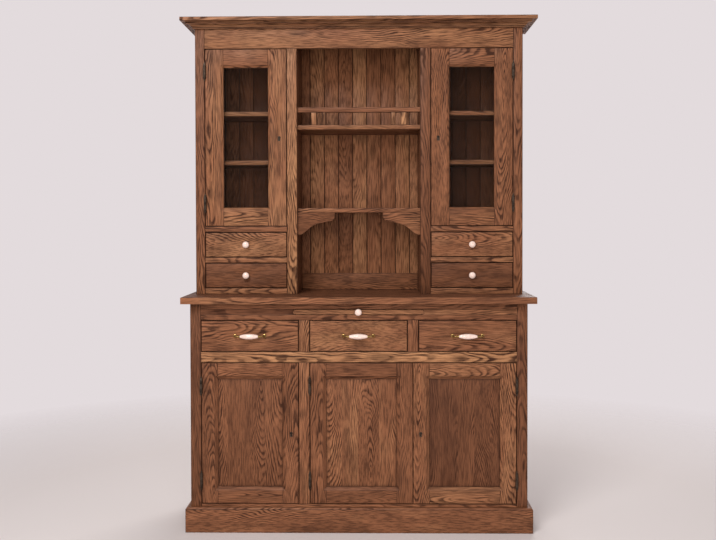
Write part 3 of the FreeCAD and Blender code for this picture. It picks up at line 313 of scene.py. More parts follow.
@dataclass(frozen=True)
class GlazedPorcelain:
    """Slip-cast porcelain under a clear glaze: warm white, faintly mottled, with a clean highlight."""

    name: str = "glazed_porcelain"
    pale: str = "#EBD0C4"
    warm: str = "#D9BDAD"
    mottle_mm: float = 9.0
    ripple_mm: float = 5.0

    def make(self) -> bpy.types.Material:
        """Build the porcelain's material.

        Returns:
            The material.
        """
        material, tree, shader = blank(self.name)
        place = add(tree, "TexCoord").outputs["Object"]
        mottle = add(tree, "TexNoise", {"Vector": place, "Scale": 1 / (self.mottle_mm * MM),
                                        "Detail": 3.0}).outputs[0]
        tint = add(tree, "ValToRGB", {0: mottle}, stops=((0.35, self.pale), (0.75, self.warm))).outputs[0]
        tree.links.new(tint, shader.inputs["Base Color"])
        glaze = add(tree, "MapRange", {0: mottle, 3: 0.12, 4: 0.26}).outputs[0]
        tree.links.new(glaze, shader.inputs["Roughness"])
        ripple = add(tree, "TexNoise", {"Vector": place, "Scale": 1 / (self.ripple_mm * MM)}).outputs[0]
        dimple = add(tree, "Bump", {"Height": ripple, "Strength": 0.08, "Distance": 0.2 * MM}).outputs[0]
        tree.links.new(dimple, shader.inputs["Normal"])
        shader.inputs["IOR"].default_value = 1.54
        shader.inputs["Coat Weight"].default_value = 0.4
        return material


@dataclass(frozen=True)
class DrawnGlass:
    """Drawn window glass: clear, faintly green, slightly wavy, with a clean reflection."""

    name: str = "drawn_window_glass"
    tint: str = "#0C0F0D"
    cover: float = 0.1
    wave_mm: float = 130.0

    def make(self) -> bpy.types.Material:
        """Build the glass's material.

        Returns:
            The material.
        """
        material, tree, shader = blank(self.name)
        place = add(tree, "TexCoord").outputs["Object"]
        wave = add(tree, "TexNoise", {"Vector": place, "Scale": 1 / (self.wave_mm * MM),
                                      "Detail": 1.0}).outputs[0]
        bend = add(tree, "Bump", {"Height": wave, "Strength": 0.12, "Distance": 2 * MM}).outputs[0]
        tree.links.new(bend, shader.inputs["Normal"])
        haze = add(tree, "MapRange", {0: wave, 3: 0.015, 4: 0.05}).outputs[0]
        tree.links.new(haze, shader.inputs["Roughness"])
        shader.inputs["Base Color"].default_value = linear(self.tint)
        shader.inputs["Alpha"].default_value = self.cover
        shader.inputs["IOR"].default_value = 1.52
        shader.inputs["Specular IOR Level"].default_value = 0.3
        return material


@dataclass(frozen=True)
class BoardStock:
    """How the boards of a piece are sawn, glued up, stained and eased.

    Attributes:
        tone: How light the stain is, from 0 to 1.
        spread: How far the stain strays from stave to stave.
        arris: The width of the eased edges.
        edge: How much lighter the narrow sides are painted than the faces, a painted highlight on front
            edges.
        widest: The widest board that is sawn in one piece.
        stave: The usual width of a stave in a wider board.
        first_share: The range of the first stave's share of that width.
        next_share: The range of the share of each stave after it.
        least_share: The least share that is left for the last stave.
        calm: The width below which the grain runs straighter.
        grime_and_shade: How dark the eased edges are painted, as dirt and as painted shade in the gaps
            between boards.
        log: A letter that picks another log, where the first one's figure is not wanted.
    """

    tone: float = 0.5
    spread: float = 0.06
    arris: float = 1.6 * MM
    edge: float = 0.0
    widest: float = 140 * MM
    stave: float = 82 * MM
    first_share: tuple[float, float] = (0.5, 1.1)
    next_share: tuple[float, float] = (0.72, 1.25)
    least_share: float = 0.35
    calm: float = 90 * MM
    grime_and_shade: float = 1.0
    log: str = ""


@dataclass(frozen=True)
class Stave:
    """Where a stave lay in its log, and how its stain took.

    Attributes:
        pith: The place of the log's middle across the board.
        depth: How far the board lies from the log's middle.
        lean: How far the log leans across the board.
        slope: How far it slopes through the board.
        shift: The stave's place along the log.
        stain: How light the stain is.
    """

    pith: float
    depth: float
    lean: float
    slope: float
    shift: float
    stain: float


@dataclass
class WoodMesh:
    """The corners and faces of a piece, gathered board by board."""

    points: list[Vector] = field(default_factory=list)
    faces: list[list[int]] = field(default_factory=list)
    grain: list[float] = field(default_factory=list)
    tone: list[float] = field(default_factory=list)
    arris: list[float] = field(default_factory=list)

    def finish(self, name: str) -> bpy.types.Mesh:
        """Turn what was gathered into a mesh.

        Args:
            name: The mesh's name.

        Returns:
            The mesh, with the place in the log, the stain with its painted highlight on narrow sides, and
            the eased edges of each corner.
        """
        mesh = bpy.data.meshes.new(name)
        mesh.from_pydata(self.points, [], self.faces)
        mesh.attributes.new(GRAIN, "FLOAT_VECTOR", "CORNER").data.foreach_set("vector", self.grain)
        mesh.attributes.new(TONE, "FLOAT", "CORNER").data.foreach_set("value", self.tone)
        mesh.attributes.new(ARRIS, "FLOAT", "CORNER").data.foreach_set("value", self.arris)
        mesh.polygons.foreach_set("use_smooth", [True] * len(mesh.polygons))
        mesh.set_sharp_from_angle(angle=BOARD_CREASE)
        return mesh


@dataclass
class WoodenPiece:
    """One node of wooden boards, cut again from its solids with eased edges and grain along each board.

    Attributes:
        node: The node.
        body: The body it rides on.
        stock: How its boards are made.
        slot: The slot that gives its finish.
        tones: The stain of single boards, by their number in the node.
        steps: The steps in a metre to which corners are told apart, a hundredth of a millimetre each.
        flat: The angle up to which faces count as one flat face.
        sharp: The angle from which an edge is eased.
    """

    node: str
    body: str
    stock: BoardStock = BoardStock()
    slot: Slot = Slot.OAK
    tones: dict[int, float] = field(default_factory=dict)
    steps: float = 1e5
    flat: float = math.radians(0.4)
    sharp: float = math.radians(35)

    def key(self, point: Vector) -> tuple[int, ...]:
        """Give a corner's place in whole steps, so that equal corners meet."""
        return tuple(round(value * self.steps) for value in point)

    def shells(self, mesh: bpy.types.Mesh) -> list[list[int]]:
        """Part the node's faces into its solids: a solid ends where its surface closes.

        Args:
            mesh: The node's mesh, whose faces follow each other solid by solid.

        Returns:
            The face numbers of each solid.
        """
        keys = [self.key(vertex.co) for vertex in mesh.vertices]
        found, current, loose = [], [], Counter()
        for polygon in mesh.polygons:
            current.append(polygon.index)
            ring = [keys[number] for number in polygon.vertices]
            for start, end in zip(ring, ring[1:] + ring[:1]):
                if loose[(end, start)]:
                    loose[(end, start)] -= 1
                    if not loose[(end, start)]:
                        del loose[(end, start)]
                elif start != end:
                    del loose[(end, start)]
                    loose[(start, end)] += 1
            if not loose:
                found.append(current)
                current = []
        return found + [current] if current else found

    def solid(self, mesh: bpy.types.Mesh, shell: list[int]) -> bmesh.types.BMesh:
        """Copy one solid out of the node with its flat faces whole.

        Args:
            mesh: The node's mesh.
            shell: The face numbers of the solid.

        Returns:
            The solid.
        """
        copy = bmesh.new()
        corners: dict[tuple[int, ...], bmesh.types.BMVert] = {}
        for number in shell:
            ring = []
            for vertex in mesh.polygons[number].vertices:
                point = mesh.vertices[vertex].co
                key = self.key(point)
                if key not in corners:
                    corners[key] = copy.verts.new(point)
                ring.append(corners[key])
            if len(set(ring)) == len(ring) and not copy.faces.get(ring):
                copy.faces.new(ring)
        bmesh.ops.dissolve_limit(copy, angle_limit=self.flat, verts=copy.verts, edges=copy.edges)
        return copy

    def ease(self, solid: bmesh.types.BMesh, low: Vector, high: Vector,
             thick: int) -> set[bmesh.types.BMFace]:
        """Ease the long sharp edges of a board's two faces.

        Args:
            solid: The board.
            low: Its lowest corner.
            high: Its highest corner.
            thick: The axis of its thickness.

        Returns:
            The faces of the eased edges.
        """
        near = 0.05 * MM
        edges = []
        for edge in solid.edges:
            if len(edge.link_faces) != 2 or not edge.is_convex or edge.calc_face_angle(0) < self.sharp:
                continue
            levels = [vertex.co[thick] for vertex in edge.verts]
            if any(all(abs(level - side) < near for level in levels) for side in (low[thick], high[thick])):
                edges.append(edge)
        if not edges:
            return set()
        made = bmesh.ops.bevel(solid, geom=edges, offset=self.stock.arris, offset_type="OFFSET", segments=2,
                               profile=0.5, affect="EDGES", clamp_overlap=True)
        return set(made["faces"])

    def stave(self, start: float, end: float, tone: float, calm: float, draw: random.Random) -> Stave:
        """Saw one stave from a log.

        Args:
            start: Its first side across the board.
            end: Its second side.
            tone: How light the board's stain is.
            calm: A share that keeps the grain of narrow boards straighter.
            draw: The seeded source of its log and of how its stain took.

        Returns:
            The stave.
        """
        return Stave(
            pith=(start + end) / 2 + draw.uniform(-1.0, 1.0) * (end - start),
            depth=draw.choice((-1, 1)) * draw.uniform(20, 60) * MM,
            lean=draw.uniform(-0.03, 0.03),
            slope=draw.choice((-1, 1)) * draw.uniform(0.04, 0.16) * calm,
            shift=draw.uniform(0, 40),
            stain=min(1.0, max(0.0, tone + self.stock.spread * draw.gauss(0, 1))),
        )

    def board(self, solid: bmesh.types.BMesh, tone: float, draw: random.Random, into: WoodMesh) -> None:
        """Lay the grain of one solid and gather it, glued up from staves where it is wide.

        Args:
            solid: The solid.
            tone: How light its stain is.
            draw: The seeded source of its log and of how its stain took.
            into: The mesh that gathers it.
        """
        low = Vector([min(vertex.co[i] for vertex in solid.verts) for i in range(3)])
        high = Vector([max(vertex.co[i] for vertex in solid.verts) for i in range(3)])
        size = high - low
        thick, across, along = sorted(range(3), key=lambda axis: size[axis])
        eased = self.ease(solid, low, high, thick)
        # The material number marks the eased faces, because the cuts between staves keep it.
        for face in solid.faces:
            face.material_index = int(face in eased)
        cuts = []
        if size[across] > self.stock.widest:
            at = low[across] + self.stock.stave * draw.uniform(*self.stock.first_share)
            while at < high[across] - self.stock.least_share * self.stock.stave:
                cuts.append(at)
                at += self.stock.stave * draw.uniform(*self.stock.next_share)
        normal = Vector([1.0 if axis == across else 0.0 for axis in range(3)])
        for at in cuts:
            bmesh.ops.bisect_plane(solid, geom=solid.verts[:] + solid.edges[:] + solid.faces[:],
                                   plane_co=normal * at, plane_no=normal)
        calm = min(1.0, size[across] / self.stock.calm)
        sides = zip([low[across]] + cuts, cuts + [high[across]])
        staves = [self.stave(start, end, tone, calm, draw) for start, end in sides]
        first = len(into.points)
        solid.verts.index_update()
        into.points.extend(vertex.co.copy() for vertex in solid.verts)
        middle = (low + high) / 2
        for face in solid.faces:
            centre = face.calc_center_median()[across]
            stave = staves[sum(centre > at for at in cuts)]
            narrow_side = abs(face.normal[across]) > 0.7
            # The narrow sides are painted lighter than the faces: a painted highlight on the front edges.
            stain = stave.stain + self.stock.edge if narrow_side else stave.stain
            into.faces.append([first + vertex.index for vertex in face.verts])
            for vertex in face.verts:
                run = vertex.co[along] - middle[along]
                into.grain.extend((vertex.co[across] - stave.pith + stave.lean * run,
                                   vertex.co[thick] - middle[thick] + stave.depth + stave.slope * run,
                                   run + stave.shift))
                into.tone.append(stain)
                # The eased faces are darkened as dirt and as painted shade of the gaps between boards.
                into.arris.append(self.stock.grime_and_shade * face.material_index)

    def build(self, finishes: Finishes) -> bpy.types.Object:
        """Cut the node's boards again and dress them.

        Args:
            finishes: The material of each slot.

        Returns:
            The piece, riding on its body in place of the node.
        """
        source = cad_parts[self.node].data
        gathered = WoodMesh()
        for number, shell in enumerate(self.shells(source)):
            solid = self.solid(source, shell)
            tone = self.tones.get(number, self.stock.tone)
            seed = f"{self.node} {number} {self.stock.log}".rstrip()
            self.board(solid, tone, random.Random(seed), gathered)
            solid.free()
        name = self.node + "_boards"
        piece = bpy.data.objects.new(name, gathered.finish(name))
        return settle(piece, finishes, self.slot, self.body, self.node)


def settle(piece: bpy.types.Object, finishes: Finishes, slot: Slot, body: str,
           node: str) -> bpy.types.Object:
    """Dress a new piece and let it ride on its body in place of a node.

    Args:
        piece: The piece.
        finishes: The material of each slot.
        slot: The slot that gives its finish.
        body: The body it rides on.
        node: The node it stands for.

    Returns:
        The same piece.
    """
    bpy.context.scene.collection.objects.link(piece)
    piece.data.materials.append(finishes[slot])
    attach(piece, body)
    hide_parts(node)
    LOG.info("%s: %d faces", piece.name, len(piece.data.polygons))
    return piece


def keep(node: str, finishes: Finishes, slot: Slot) -> None:
    """Keep a node's own shape and give it its finish.

    Args:
        node: The node.
        finishes: The material of each slot.
        slot: The slot that gives its finish.
    """
    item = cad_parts[node]
    for place in item.material_slots:
        place.material = finishes[slot]
    LOG.info("%s: kept in %s", node, slot.value)


def turned(name: str, profile: Iterable[tuple[float, float]], place: Matrix,
           sides: int = 40) -> bpy.types.Mesh:
    """Turn a profile on the local Z axis.

    Args:
        name: The mesh's name.
        profile: Radius and height of each ring, from the first end to the last.
        place: The matrix that puts the turned shape in its place.
        sides: The number of sides of each ring.

    Returns:
        The closed mesh.
    """
    rings = list(profile)
    turns = [2 * math.pi * number / sides for number in range(sides)]
    points = [place @ Vector((r * math.cos(a), r * math.sin(a), h)) for r, h in rings for a in turns]
    faces = []
    for ring in range(len(rings) - 1):
        for number in range(sides):
            start = ring * sides
            after = (number + 1) % sides
            faces.append((start + number, start + after, start + sides + after, start + sides + number))
    faces.append(tuple(reversed(range(sides))))
    faces.append(tuple(range((len(rings) - 1) * sides, len(rings) * sides)))
    mesh = bpy.data.meshes.new(name)
    mesh.from_pydata(points, [], faces)
    mesh.polygons.foreach_set("use_smooth", [True] * len(mesh.polygons))
    mesh.set_sharp_from_angle(angle=TURNED_CREASE)
    return mesh


def joined(name: str, meshes: Iterable[bpy.types.Mesh]) -> bpy.types.Mesh:
    """Put several closed meshes into one.

    Args:
        name: The new mesh's name.
        meshes: The meshes to gather.

    Returns:
        The mesh that holds them all.
    """
    whole = bmesh.new()
    for mesh in meshes:
        whole.from_mesh(mesh)
        bpy.data.meshes.remove(mesh)
    result = bpy.data.meshes.new(name)
    whole.to_mesh(result)
    whole.free()
    return result


@dataclass
class PorcelainKnob:
    """A turned porcelain knob: a foot, a neck and a flattened ball with a small hollow for its screw."""

    node: str
    body: str
    radius: float = 14.5 * MM
    reach: float = 27 * MM
    half_depth: float = 9.8 * MM
    foot: float = 9 * MM
    neck: float = 6 * MM
    spigot: float = 4 * MM
    hollow: float = 2.2 * MM
    hollow_depth: float = 1.2 * MM

    def profile(self) -> list[tuple[float, float]]:
        """Give the knob's rings from its spigot to its crown.

        Returns:
            Radius and height of each ring above the drawer's face.
        """
        equator = self.reach - self.half_depth
        rings = [(self.spigot, -11 * MM), (self.spigot, 0.0), (self.foot - 0.4 * MM, 0.0),
                 (self.foot, 0.5 * MM), (self.foot, 1.8 * MM), (self.foot - 0.7 * MM, 2.6 * MM),
                 (self.neck + 0.8 * MM, 3.6 * MM), (self.neck, 5 * MM), (self.neck, 6.2 * MM)]
        neck_angle, step_angle, steps = -62, 9.4, 16
        for step in range(steps):
            angle = math.radians(neck_angle + step * step_angle)
            rings.append((self.radius * math.cos(angle), equator + self.half_depth * math.sin(angle)))
        floor = self.reach - self.hollow_depth
        rings += [(self.hollow, floor + 0.2 * MM), (self.hollow - 0.4 * MM, floor), (0.3 * MM, floor)]
        return rings

    def build(self, finishes: Finishes) -> bpy.types.Object:
        """Turn the knob where its node stands.

        Args:
            finishes: The material of each slot.

        Returns:
            The knob.
        """
        low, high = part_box(self.node)
        face = Vector(((low.x + high.x) / 2, low.y + self.reach, (low.z + high.z) / 2))
        place = Matrix.Translation(face) @ Matrix.Rotation(math.radians(90), 4, "X")
        name = self.node + "_turned"
        piece = bpy.data.objects.new(name, turned(name, self.profile(), place))
        return settle(piece, finishes, Slot.PORCELAIN, self.body, self.node)


@dataclass
class BowHandle:
    """A brass bow on two turned feet that carries a porcelain grip."""

    drawer: str
    foot_x: float = 62 * MM
    reach: float = 26 * MM
    bend: float = 14 * MM
    rod: float = 3.2 * MM
    cup: float = 6.2 * MM
    cup_length: float = 8 * MM
    cup_gap: float = 0.3 * MM
    spigot: float = 12 * MM
    rosette: float = 7.5 * MM
    peg: float = 4 * MM
    ball: float = 5.8 * MM
    ball_half: float = 5.6 * MM
    ball_out: float = 7.4 * MM
    grip_half: float = 38 * MM
    grip_radius: float = 11.5 * MM
    grip_end: float = 5.4 * MM

    def place(self) -> Matrix:
        """Find the middle between the feet on the drawer's face.

        Returns:
            The matrix of a frame with X along the bow and Z straight out of the drawer.
        """
        low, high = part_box("large_handle_" + self.drawer)
        middle = Vector(((low.x + high.x) / 2, high.y - self.spigot, high.z - self.rosette))
        return Matrix.Translation(middle) @ Matrix.Rotation(math.radians(90), 4, "X")

    def line(self) -> list[tuple[float, float, float]]:
        """Trace the bow's middle line from its left foot to its middle.

        Returns:
            Place along the bow, place out of the drawer and rod radius of each ring.
        """
        straight = self.foot_x - self.bend
        trace = [(-self.foot_x, 1 * MM, 4.2 * MM), (-self.foot_x, 5 * MM, 3.6 * MM)]
        for step in range(11):
            angle = math.radians(9 * step)
            trace.append((-straight - self.bend * math.cos(angle),
                          self.reach - self.bend + self.bend * math.sin(angle), self.rod))
        mouth = -self.grip_half - self.cup_gap
        for share in (1.0, 0.8, 0.55, 0.3, 0.1, 0.0):
            flare = (1 - share) ** 0.7
            trace.append((mouth - share * self.cup_length, self.reach,
                          self.rod + (self.cup - self.rod) * flare))
        trace += [(mouth + 0.05 * MM, self.reach, self.rod), (0.0, self.reach, self.rod)]
        return trace

    def bow(self, place: Matrix) -> bpy.types.Mesh:
        """Sweep the rod along the bow's middle line.

        Args:
            place: The frame on the drawer's face.

        Returns:
            The bow's mesh.
        """
        half = self.line()
        trace = half + [(-x, out, radius) for x, out, radius in reversed(half[:-1])]
        sides = 20
        points, faces = [], []
        for number, (x, out, radius) in enumerate(trace):
            before = trace[max(0, number - 1)]
            after = trace[min(len(trace) - 1, number + 1)]
            run = Vector((after[0] - before[0], 0.0, after[1] - before[1])).normalized()
            side = Vector((0.0, 1.0, 0.0))
            level = run.cross(side)
            for turn in range(sides):
                angle = 2 * math.pi * turn / sides
                spoke = side * math.cos(angle) + level * math.sin(angle)
                points.append(place @ (Vector((x, 0.0, out)) + spoke * radius))
        for ring in range(len(trace) - 1):
            for turn in range(sides):
                start = ring * sides
                after = (turn + 1) % sides
                faces.append((start + turn, start + sides + turn, start + sides + after, start + after))
        faces.append(tuple(range(sides)))
        faces.append(tuple(reversed(range((len(trace) - 1) * sides, len(trace) * sides))))
        mesh = bpy.data.meshes.new("bow")
        mesh.from_pydata(points, [], faces)
        mesh.polygons.foreach_set("use_smooth", [True] * len(mesh.polygons))
        return mesh

    def foot(self, side: int, place: Matrix) -> bpy.types.Mesh:
        """Turn one foot: a spigot, a stepped rosette and a small ball.

        Args:
            side: -1 for the left foot, 1 for the right foot.
            place: The frame on the drawer's face.

        Returns:
            The foot's mesh.
        """
        rings = [(self.peg, -11 * MM), (self.peg, 0.0), (self.rosette - 0.4 * MM, 0.0),
                 (self.rosette, 0.4 * MM), (self.rosette, 1.3 * MM), (6.6 * MM, 2 * MM),
                 (4.8 * MM, 2.5 * MM), (4.6 * MM, 3 * MM)]
        neck_angle, step_angle, steps = -52, 14, 11
        for step in range(steps):
            angle = math.radians(neck_angle + step * step_angle)
            rings.append((self.ball * math.cos(angle), self.ball_out + self.ball_half * math.sin(angle)))
        stand = place @ Matrix.Translation((side * self.foot_x, 0.0, 0.0))
        return turned("foot", rings, stand, sides=28)

    def grip(self, place: Matrix) -> bpy.types.Mesh:
        """Turn the porcelain grip, fullest in its middle.

        Args:
            place: The frame on the drawer's face.

        Returns:
            The grip's mesh.
        """
        rings = [(self.rod, -self.grip_half + 1 * MM), (self.grip_end - 0.5 * MM, -self.grip_half)]
        count = 28
        for step in range(count + 1):
            along = -1 + 2 * step / count
            full = (1 - along * along) ** 1.1
            rings.append((self.grip_end + (self.grip_radius - self.grip_end) * full,
                          along * (self.grip_half - 0.4 * MM)))
        rings += [(self.grip_end - 0.5 * MM, self.grip_half), (self.rod, self.grip_half - 1 * MM)]
        lie = place @ Matrix.Translation((0.0, 0.0, self.reach)) @ Matrix.Rotation(math.radians(90), 4, "Y")
        return turned("grip", rings, lie)

    def build(self, finishes: Finishes) -> list[bpy.types.Object]:
        """Make the bow with its feet, and the grip on it.

        Args:
            finishes: The material of each slot.

        Returns:
            The brass piece and the porcelain piece.
        """
        place = self.place()
        body = "large_drawer_" + self.drawer
        name = f"large_handle_{self.drawer}_cast"
        brass = bpy.data.objects.new(name, joined(name, [self.foot(-1, place), self.foot(1, place),
                                                         self.bow(place)]))
        settle(brass, finishes, Slot.BRASS, body, "large_handle_" + self.drawer)
        name = f"large_grip_{self.drawer}_turned"
        mesh = self.grip(place)
        mesh.name = name
        white = bpy.data.objects.new(name, mesh)
        settle(white, finishes, Slot.PORCELAIN, body, "large_grip_" + self.drawer)
        return [brass, white]


@dataclass
class Carcass:
    """The fixed joinery of both cabinets, with the hinge leaves and pins that stay on it.

    Attributes:
        body: The body that it all rides on.
        tones: The stain of each node.
        boards: The stain of single boards, by their number in the node; those behind the glazed cupboards
            are darkened as painted shade.
        edges: How much lighter the narrow sides of a node's boards are painted, a painted highlight on
            their front edges.
        grimes_and_shades: How dark the eased edges of a node are painted, as dirt and as painted shade in
            its gaps.
        backs: The nodes of back boards.
        back_tone: The stain of the back boards.
        back_spread: How far it strays from board to board.
        groove: The eased width along the joints of the back boards.
        irons: The nodes of iron.
    """

    body: str = "carcass"
    tones: dict[str, float] = field(default_factory=lambda: {
        "plinth": 0.5, "base_sides": 0.5, "base_face_stiles": 0.5, "base_face_rails": 0.42,
        "base_inner_boards": 0.5, "cupboard_shelves": 0.5, "countertop": 0.34, "upper_sides": 0.5,
        "upper_partitions": 0.45, "cabinet_decks": 0.5, "upper_top": 0.5, "cornice": 0.6,
        "upper_face_stiles": 0.5, "upper_face_rails": 0.55, "niche_back_rail": 0.35, "niche_shelves": 0.45,
        "gallery_rail": 0.48, "shelf_brackets": 0.45, "cleats_and_stops": 0.5, "drawer_guides": 0.5})
    boards: dict[str, dict[int, float]] = field(default_factory=lambda: {
        # The right and left corner stiles, and the stile between two doors.
        "base_face_stiles": {0: 0.2, 1: 0.2, 2: 0.5},
        # The bottom and middle rails, then the boards below, above, right and left of the pull-out board.
        "base_face_rails": {0: 0.45, 1: 0.82, 2: 0.38, 3: 0.38, 4: 0.5, 5: 0.15},
        # The right outer stile and pilaster, then the left ones.
        "upper_face_stiles": {0: 0.4, 1: 0.2, 2: 0.35, 3: 0.85},
        # The frieze.
        "upper_face_rails": {0: 0.6},
        # The posts under the rail.
        "gallery_rail": {number: 0.8 for number in range(1, 5)},
        # The boards behind the left and right cupboards, darkened as painted shade inside the glazed
        # cupboards.
        "upper_back_boards": {number: 0.06 for number in (*range(6), *range(15, 21))}})
    # The lighter narrow sides are a painted highlight on the front edges of the countertop and the shelves.
    edges: dict[str, float] = field(default_factory=lambda: {
        "countertop": 0.22, "niche_shelves": 0.1, "cupboard_shelves": 0.1})
    # Stronger edge darkening paints the shade of the gaps by the face stiles and rails and in the cornice's
    # quirks, as well as dirt.
    grimes_and_shades: dict[str, float] = field(default_factory=lambda: {
        "upper_face_stiles": 1.5, "base_face_rails": 1.2, "cornice": 1.3})
    backs: tuple[str, ...] = ("base_back_boards", "upper_back_boards")
    back_tone: float = 0.5
    back_spread: float = 0.12
    groove: float = 2.6 * MM
    irons: tuple[str, ...] = ("frame_hinge_leaves", "hinge_pins")

    def build(self, finishes: Finishes) -> list[bpy.types.Object]:
        """Cut the fixed boards again and dress the hinges.

        Args:
            finishes: The material of each slot.

        Returns:
            The wooden pieces.
        """
        made = []
        for node, tone in self.tones.items():
            stock = BoardStock(tone, edge=self.edges.get(node, 0.0), grime_and_shade=self.grimes_and_shades.get(node, 1.0))
            tones = self.boards.get(node, {})
            made.append(WoodenPiece(node, self.body, stock, tones=tones).build(finishes))
        for node in self.backs:
            stock = BoardStock(self.back_tone, self.back_spread, self.groove)
            tones = self.boards.get(node, {})
            made.append(WoodenPiece(node, self.body, stock, Slot.BACKING, tones).build(finishes))
        for node in self.irons:
            keep(node, finishes, Slot.IRON)
        return made


class DoorBoard(IntEnum):
    """Numbers of a panelled door's boards in its node; a glass door's top rail has the same number."""

    LEFT_STILE = 0
    RIGHT_STILE = 1
    TOP_RAIL = 3
    PANEL = 4


@dataclass
class Door:
    """A framed door with its hinges, lock or flush bolt, and its glass where it has one.

    Attributes:
        name: The door's body.
        glazed: Whether it holds glass.
        tone: How light its stain is.
        boards: The stain of single boards.
        log: A letter that picks another log.
        grime_and_shade: How dark its eased edges are painted, as dirt and as painted shade in its gaps.
        spread: How far the stain strays from stave to stave.
    """

    name: str
    glazed: bool
    tone: float = 0.5
    boards: dict[int, float] = field(default_factory=dict)
    log: str = ""
    grime_and_shade: float = 0.45
    spread: float = 0.04

    def build(self, finishes: Finishes) -> bpy.types.Object:
        """Cut the door's frame again and dress its metal and glass.

        Args:
            finishes: The material of each slot.

        Returns:
            The door's wood.
        """
        stock = BoardStock(self.tone, self.spread, grime_and_shade=self.grime_and_shade, log=self.log)
        wood = WoodenPiece(self.name + "_frame", self.name, stock, tones=self.boards).build(finishes)
        keep(self.name + "_metal", finishes, Slot.IRON)
        keep(self.name + "_bolt", finishes, Slot.STEEL)
        if self.glazed:
            keep(self.name + "_glass", finishes, Slot.GLASS)
        return wood


@dataclass
class Drawers:
    """The small drawers with knobs, the large drawers with bow handles, and the pull-out board."""

    small: dict[str, float] = field(default_factory=lambda: {
        "left_bottom": 0.37, "left_top": 0.57, "right_bottom": 0.22, "right_top": 0.53})
    large: dict[str, float] = field(default_factory=lambda: {"left": 0.45, "middle": 0.55, "right": 0.4})
    board: str = "pullout_board"
    # The pull-out board's narrow sides are painted lighter as a painted highlight, and its eased edges
    # darker as dirt and as painted shade of its slot.
    board_stock: BoardStock = BoardStock(0.45, arris=2.0 * MM, edge=0.1, grime_and_shade=1.5, log="d")

    def build(self, finishes: Finishes) -> list[bpy.types.Object]:
        """Cut the drawers again and fit their knobs and handles.

        Args:
            finishes: The material of each slot.

        Returns:
            The pieces made.
        """
        made = []
        for place, tone in self.small.items():
            body = "small_drawer_" + place
            made.append(WoodenPiece(body, body, tones={0: tone}).build(finishes))
            made.append(PorcelainKnob("small_knob_" + place, body).build(finishes))
        for place, tone in self.large.items():
            body = "large_drawer_" + place
            made.append(WoodenPiece(body, body, tones={0: tone}).build(finishes))
            made += BowHandle(place).build(finishes)
        made.append(WoodenPiece(self.board, self.board, self.board_stock).build(finishes))
        made.append(PorcelainKnob("pullout_knob", self.board).build(finishes))
        return made


@dataclass(frozen=True)
class SoftLamp:
    """A square lamp: its place, its width in metres, its power in watts, and whether gloss shows it."""

    place: tuple[float, float, float]
    size: float
    power: float
    in_gloss: bool = True


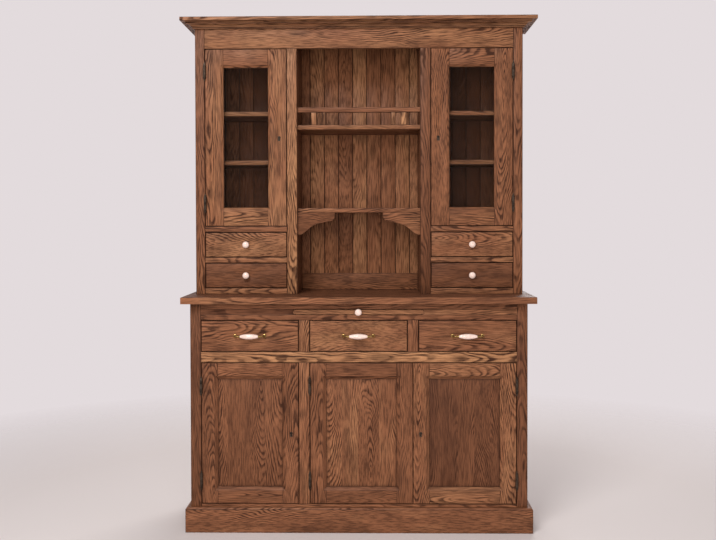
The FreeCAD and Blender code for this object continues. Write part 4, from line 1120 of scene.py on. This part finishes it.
@dataclass
class Studio:
    """A pale floor, soft lamps and a camera at the photograph's place.

    Places and lengths are in metres, turns in degrees, and the lens and its sensor in millimetres.
    """

    eye: tuple[float, float, float] = (0.074, -4.353, 1.301)
    lens: float = 50.02
    sensor: float = 36.0
    pitch: float = 1.152
    roll: float = 0.135
    yaw: float = 1.032
    shift: float = -0.04
    backdrop: str = "#E3DBDD"
    ground: str = "#DFD6D3"
    ambient: float = 0.34
    floor_clear: float = 1.7
    floor_edge: float = 3.4
    floor_drop: float = 0.5 * MM
    floor_rough: float = 0.9
    lamps: tuple[SoftLamp, ...] = (
        SoftLamp((-1.2, -3.6, 4.1), 1.8, 120.0),
        SoftLamp((-0.4, -4.8, 1.5), 3.0, 170.0, in_gloss=False),
        SoftLamp((0.8, 3.4, 3.4), 2.4, 110.0),
    )
    aim: tuple[float, float, float] = (0.0, 0.0, 1.1)

    def world(self) -> None:
        """Light the scene evenly and show a pale backdrop to the eye, to gloss and through glass."""
        world = bpy.data.worlds.new("studio")
        bpy.context.scene.world = world
        world.use_nodes = True
        tree = world.node_tree
        path = add(tree, "LightPath").outputs
        seen = add(tree, "Math", {0: path["Is Camera Ray"], 1: path["Is Glossy Ray"]}, operation="MAXIMUM")
        shown = add(tree, "Math", {0: seen.outputs[0], 1: path["Is Transmission Ray"]}, operation="MAXIMUM")
        level = add(tree, "MapRange", {0: shown.outputs[0], 3: self.ambient, 4: 1.0}).outputs[0]
        back = tree.nodes["Background"]
        back.inputs["Color"].default_value = linear(self.backdrop)
        tree.links.new(level, back.inputs["Strength"])

    def floor(self) -> None:
        """Lay a round pale floor that fades out at its edge."""
        disc = bmesh.new()
        bmesh.ops.create_circle(disc, cap_ends=True, segments=96, radius=self.floor_edge)
        mesh = bpy.data.meshes.new("studio_floor")
        disc.to_mesh(mesh)
        disc.free()
        piece = bpy.data.objects.new("studio_floor", mesh)
        piece.location.z = -self.floor_drop
        bpy.context.scene.collection.objects.link(piece)
        material, tree, shader = blank("matt_floor")
        place = add(tree, "TexCoord").outputs["Object"]
        far = add(tree, "VectorMath", {0: place}, operation="LENGTH").outputs["Value"]
        fade = add(tree, "MapRange", {0: far, 1: self.floor_clear, 2: self.floor_edge, 3: 1.0,
                                      4: 0.0}).outputs[0]
        tree.links.new(fade, shader.inputs["Alpha"])
        shader.inputs["Base Color"].default_value = linear(self.ground)
        shader.inputs["Roughness"].default_value = self.floor_rough
        mesh.materials.append(material)

    def build(self) -> None:
        """Set up the world, the floor, the lamps and the camera."""
        scene = bpy.context.scene
        scene.view_settings.view_transform = "Standard"
        self.world()
        self.floor()
        for number, lamp in enumerate(self.lamps):
            light = bpy.data.lights.new(f"soft_lamp_{number}", "AREA")
            light.size = lamp.size
            light.energy = lamp.power
            stand = bpy.data.objects.new(light.name, light)
            stand.location = lamp.place
            stand.visible_glossy = lamp.in_gloss
            facing = Vector(self.aim) - Vector(lamp.place)
            stand.rotation_euler = facing.to_track_quat("-Z", "Y").to_euler()
            scene.collection.objects.link(stand)
        camera = bpy.data.cameras.new("camera")
        camera.lens = self.lens
        camera.sensor_width = self.sensor
        camera.shift_y = self.shift
        holder = bpy.data.objects.new("camera", camera)
        holder.location = self.eye
        turns = (90 - self.pitch, self.roll, self.yaw)
        holder.rotation_euler = [math.radians(turn) for turn in turns]
        scene.collection.objects.link(holder)
        scene.camera = holder


def main() -> None:
    """Build the hutch's pieces in order, then its studio."""
    logging.basicConfig(level=logging.INFO, format="%(name)s: %(message)s")
    oak = dict(dark="#5A3521", middle="#8B593C", light="#B07E57", grain="#371D0F")
    finishes = {
        Slot.OAK: StainedOak("stained_oak", **oak).make(),
        Slot.BACKING: StainedOak("stained_oak_backing", **oak, ring_depth=0.42, pore_depth=0.5).make(),
        Slot.GLASS: DrawnGlass().make(),
        Slot.PORCELAIN: GlazedPorcelain().make(),
        Slot.BRASS: CastMetal("aged_cast_brass", "#C9A868", "#6E5730", smooth=0.2, rough=0.45,
                              grit_mm=1.6).make(),
        Slot.IRON: CastMetal("blackened_iron", "#54473C", "#30271F", smooth=0.38, rough=0.62,
                             grit_mm=1.2, metallic=0.85).make(),
        Slot.STEEL: CastMetal("drawn_steel", "#9A9894", "#6F6C68", smooth=0.25, rough=0.42,
                              grit_mm=1.0).make(),
    }
    doors = (
        Door("upper_left_door", True, 0.58, {DoorBoard.TOP_RAIL: 0.5}),
        Door("upper_right_door", True, 0.5),
        Door("lower_left_door", False, 0.46,
             {DoorBoard.LEFT_STILE: 0.38, DoorBoard.RIGHT_STILE: 0.33, DoorBoard.PANEL: 0.34}, "c"),
        Door("lower_middle_door", False, 0.42, {DoorBoard.LEFT_STILE: 0.32, DoorBoard.PANEL: 0.48}, "c"),
        Door("lower_right_door", False, 0.6, {DoorBoard.PANEL: 0.25}, "c"),
    )
    made = Carcass().build(finishes)
    made += [door.build(finishes) for door in doors]
    made += Drawers().build(finishes)
    LOG.info("%d pieces made", len(made))
    Studio().build()


if __name__ == "__main__":
    main()
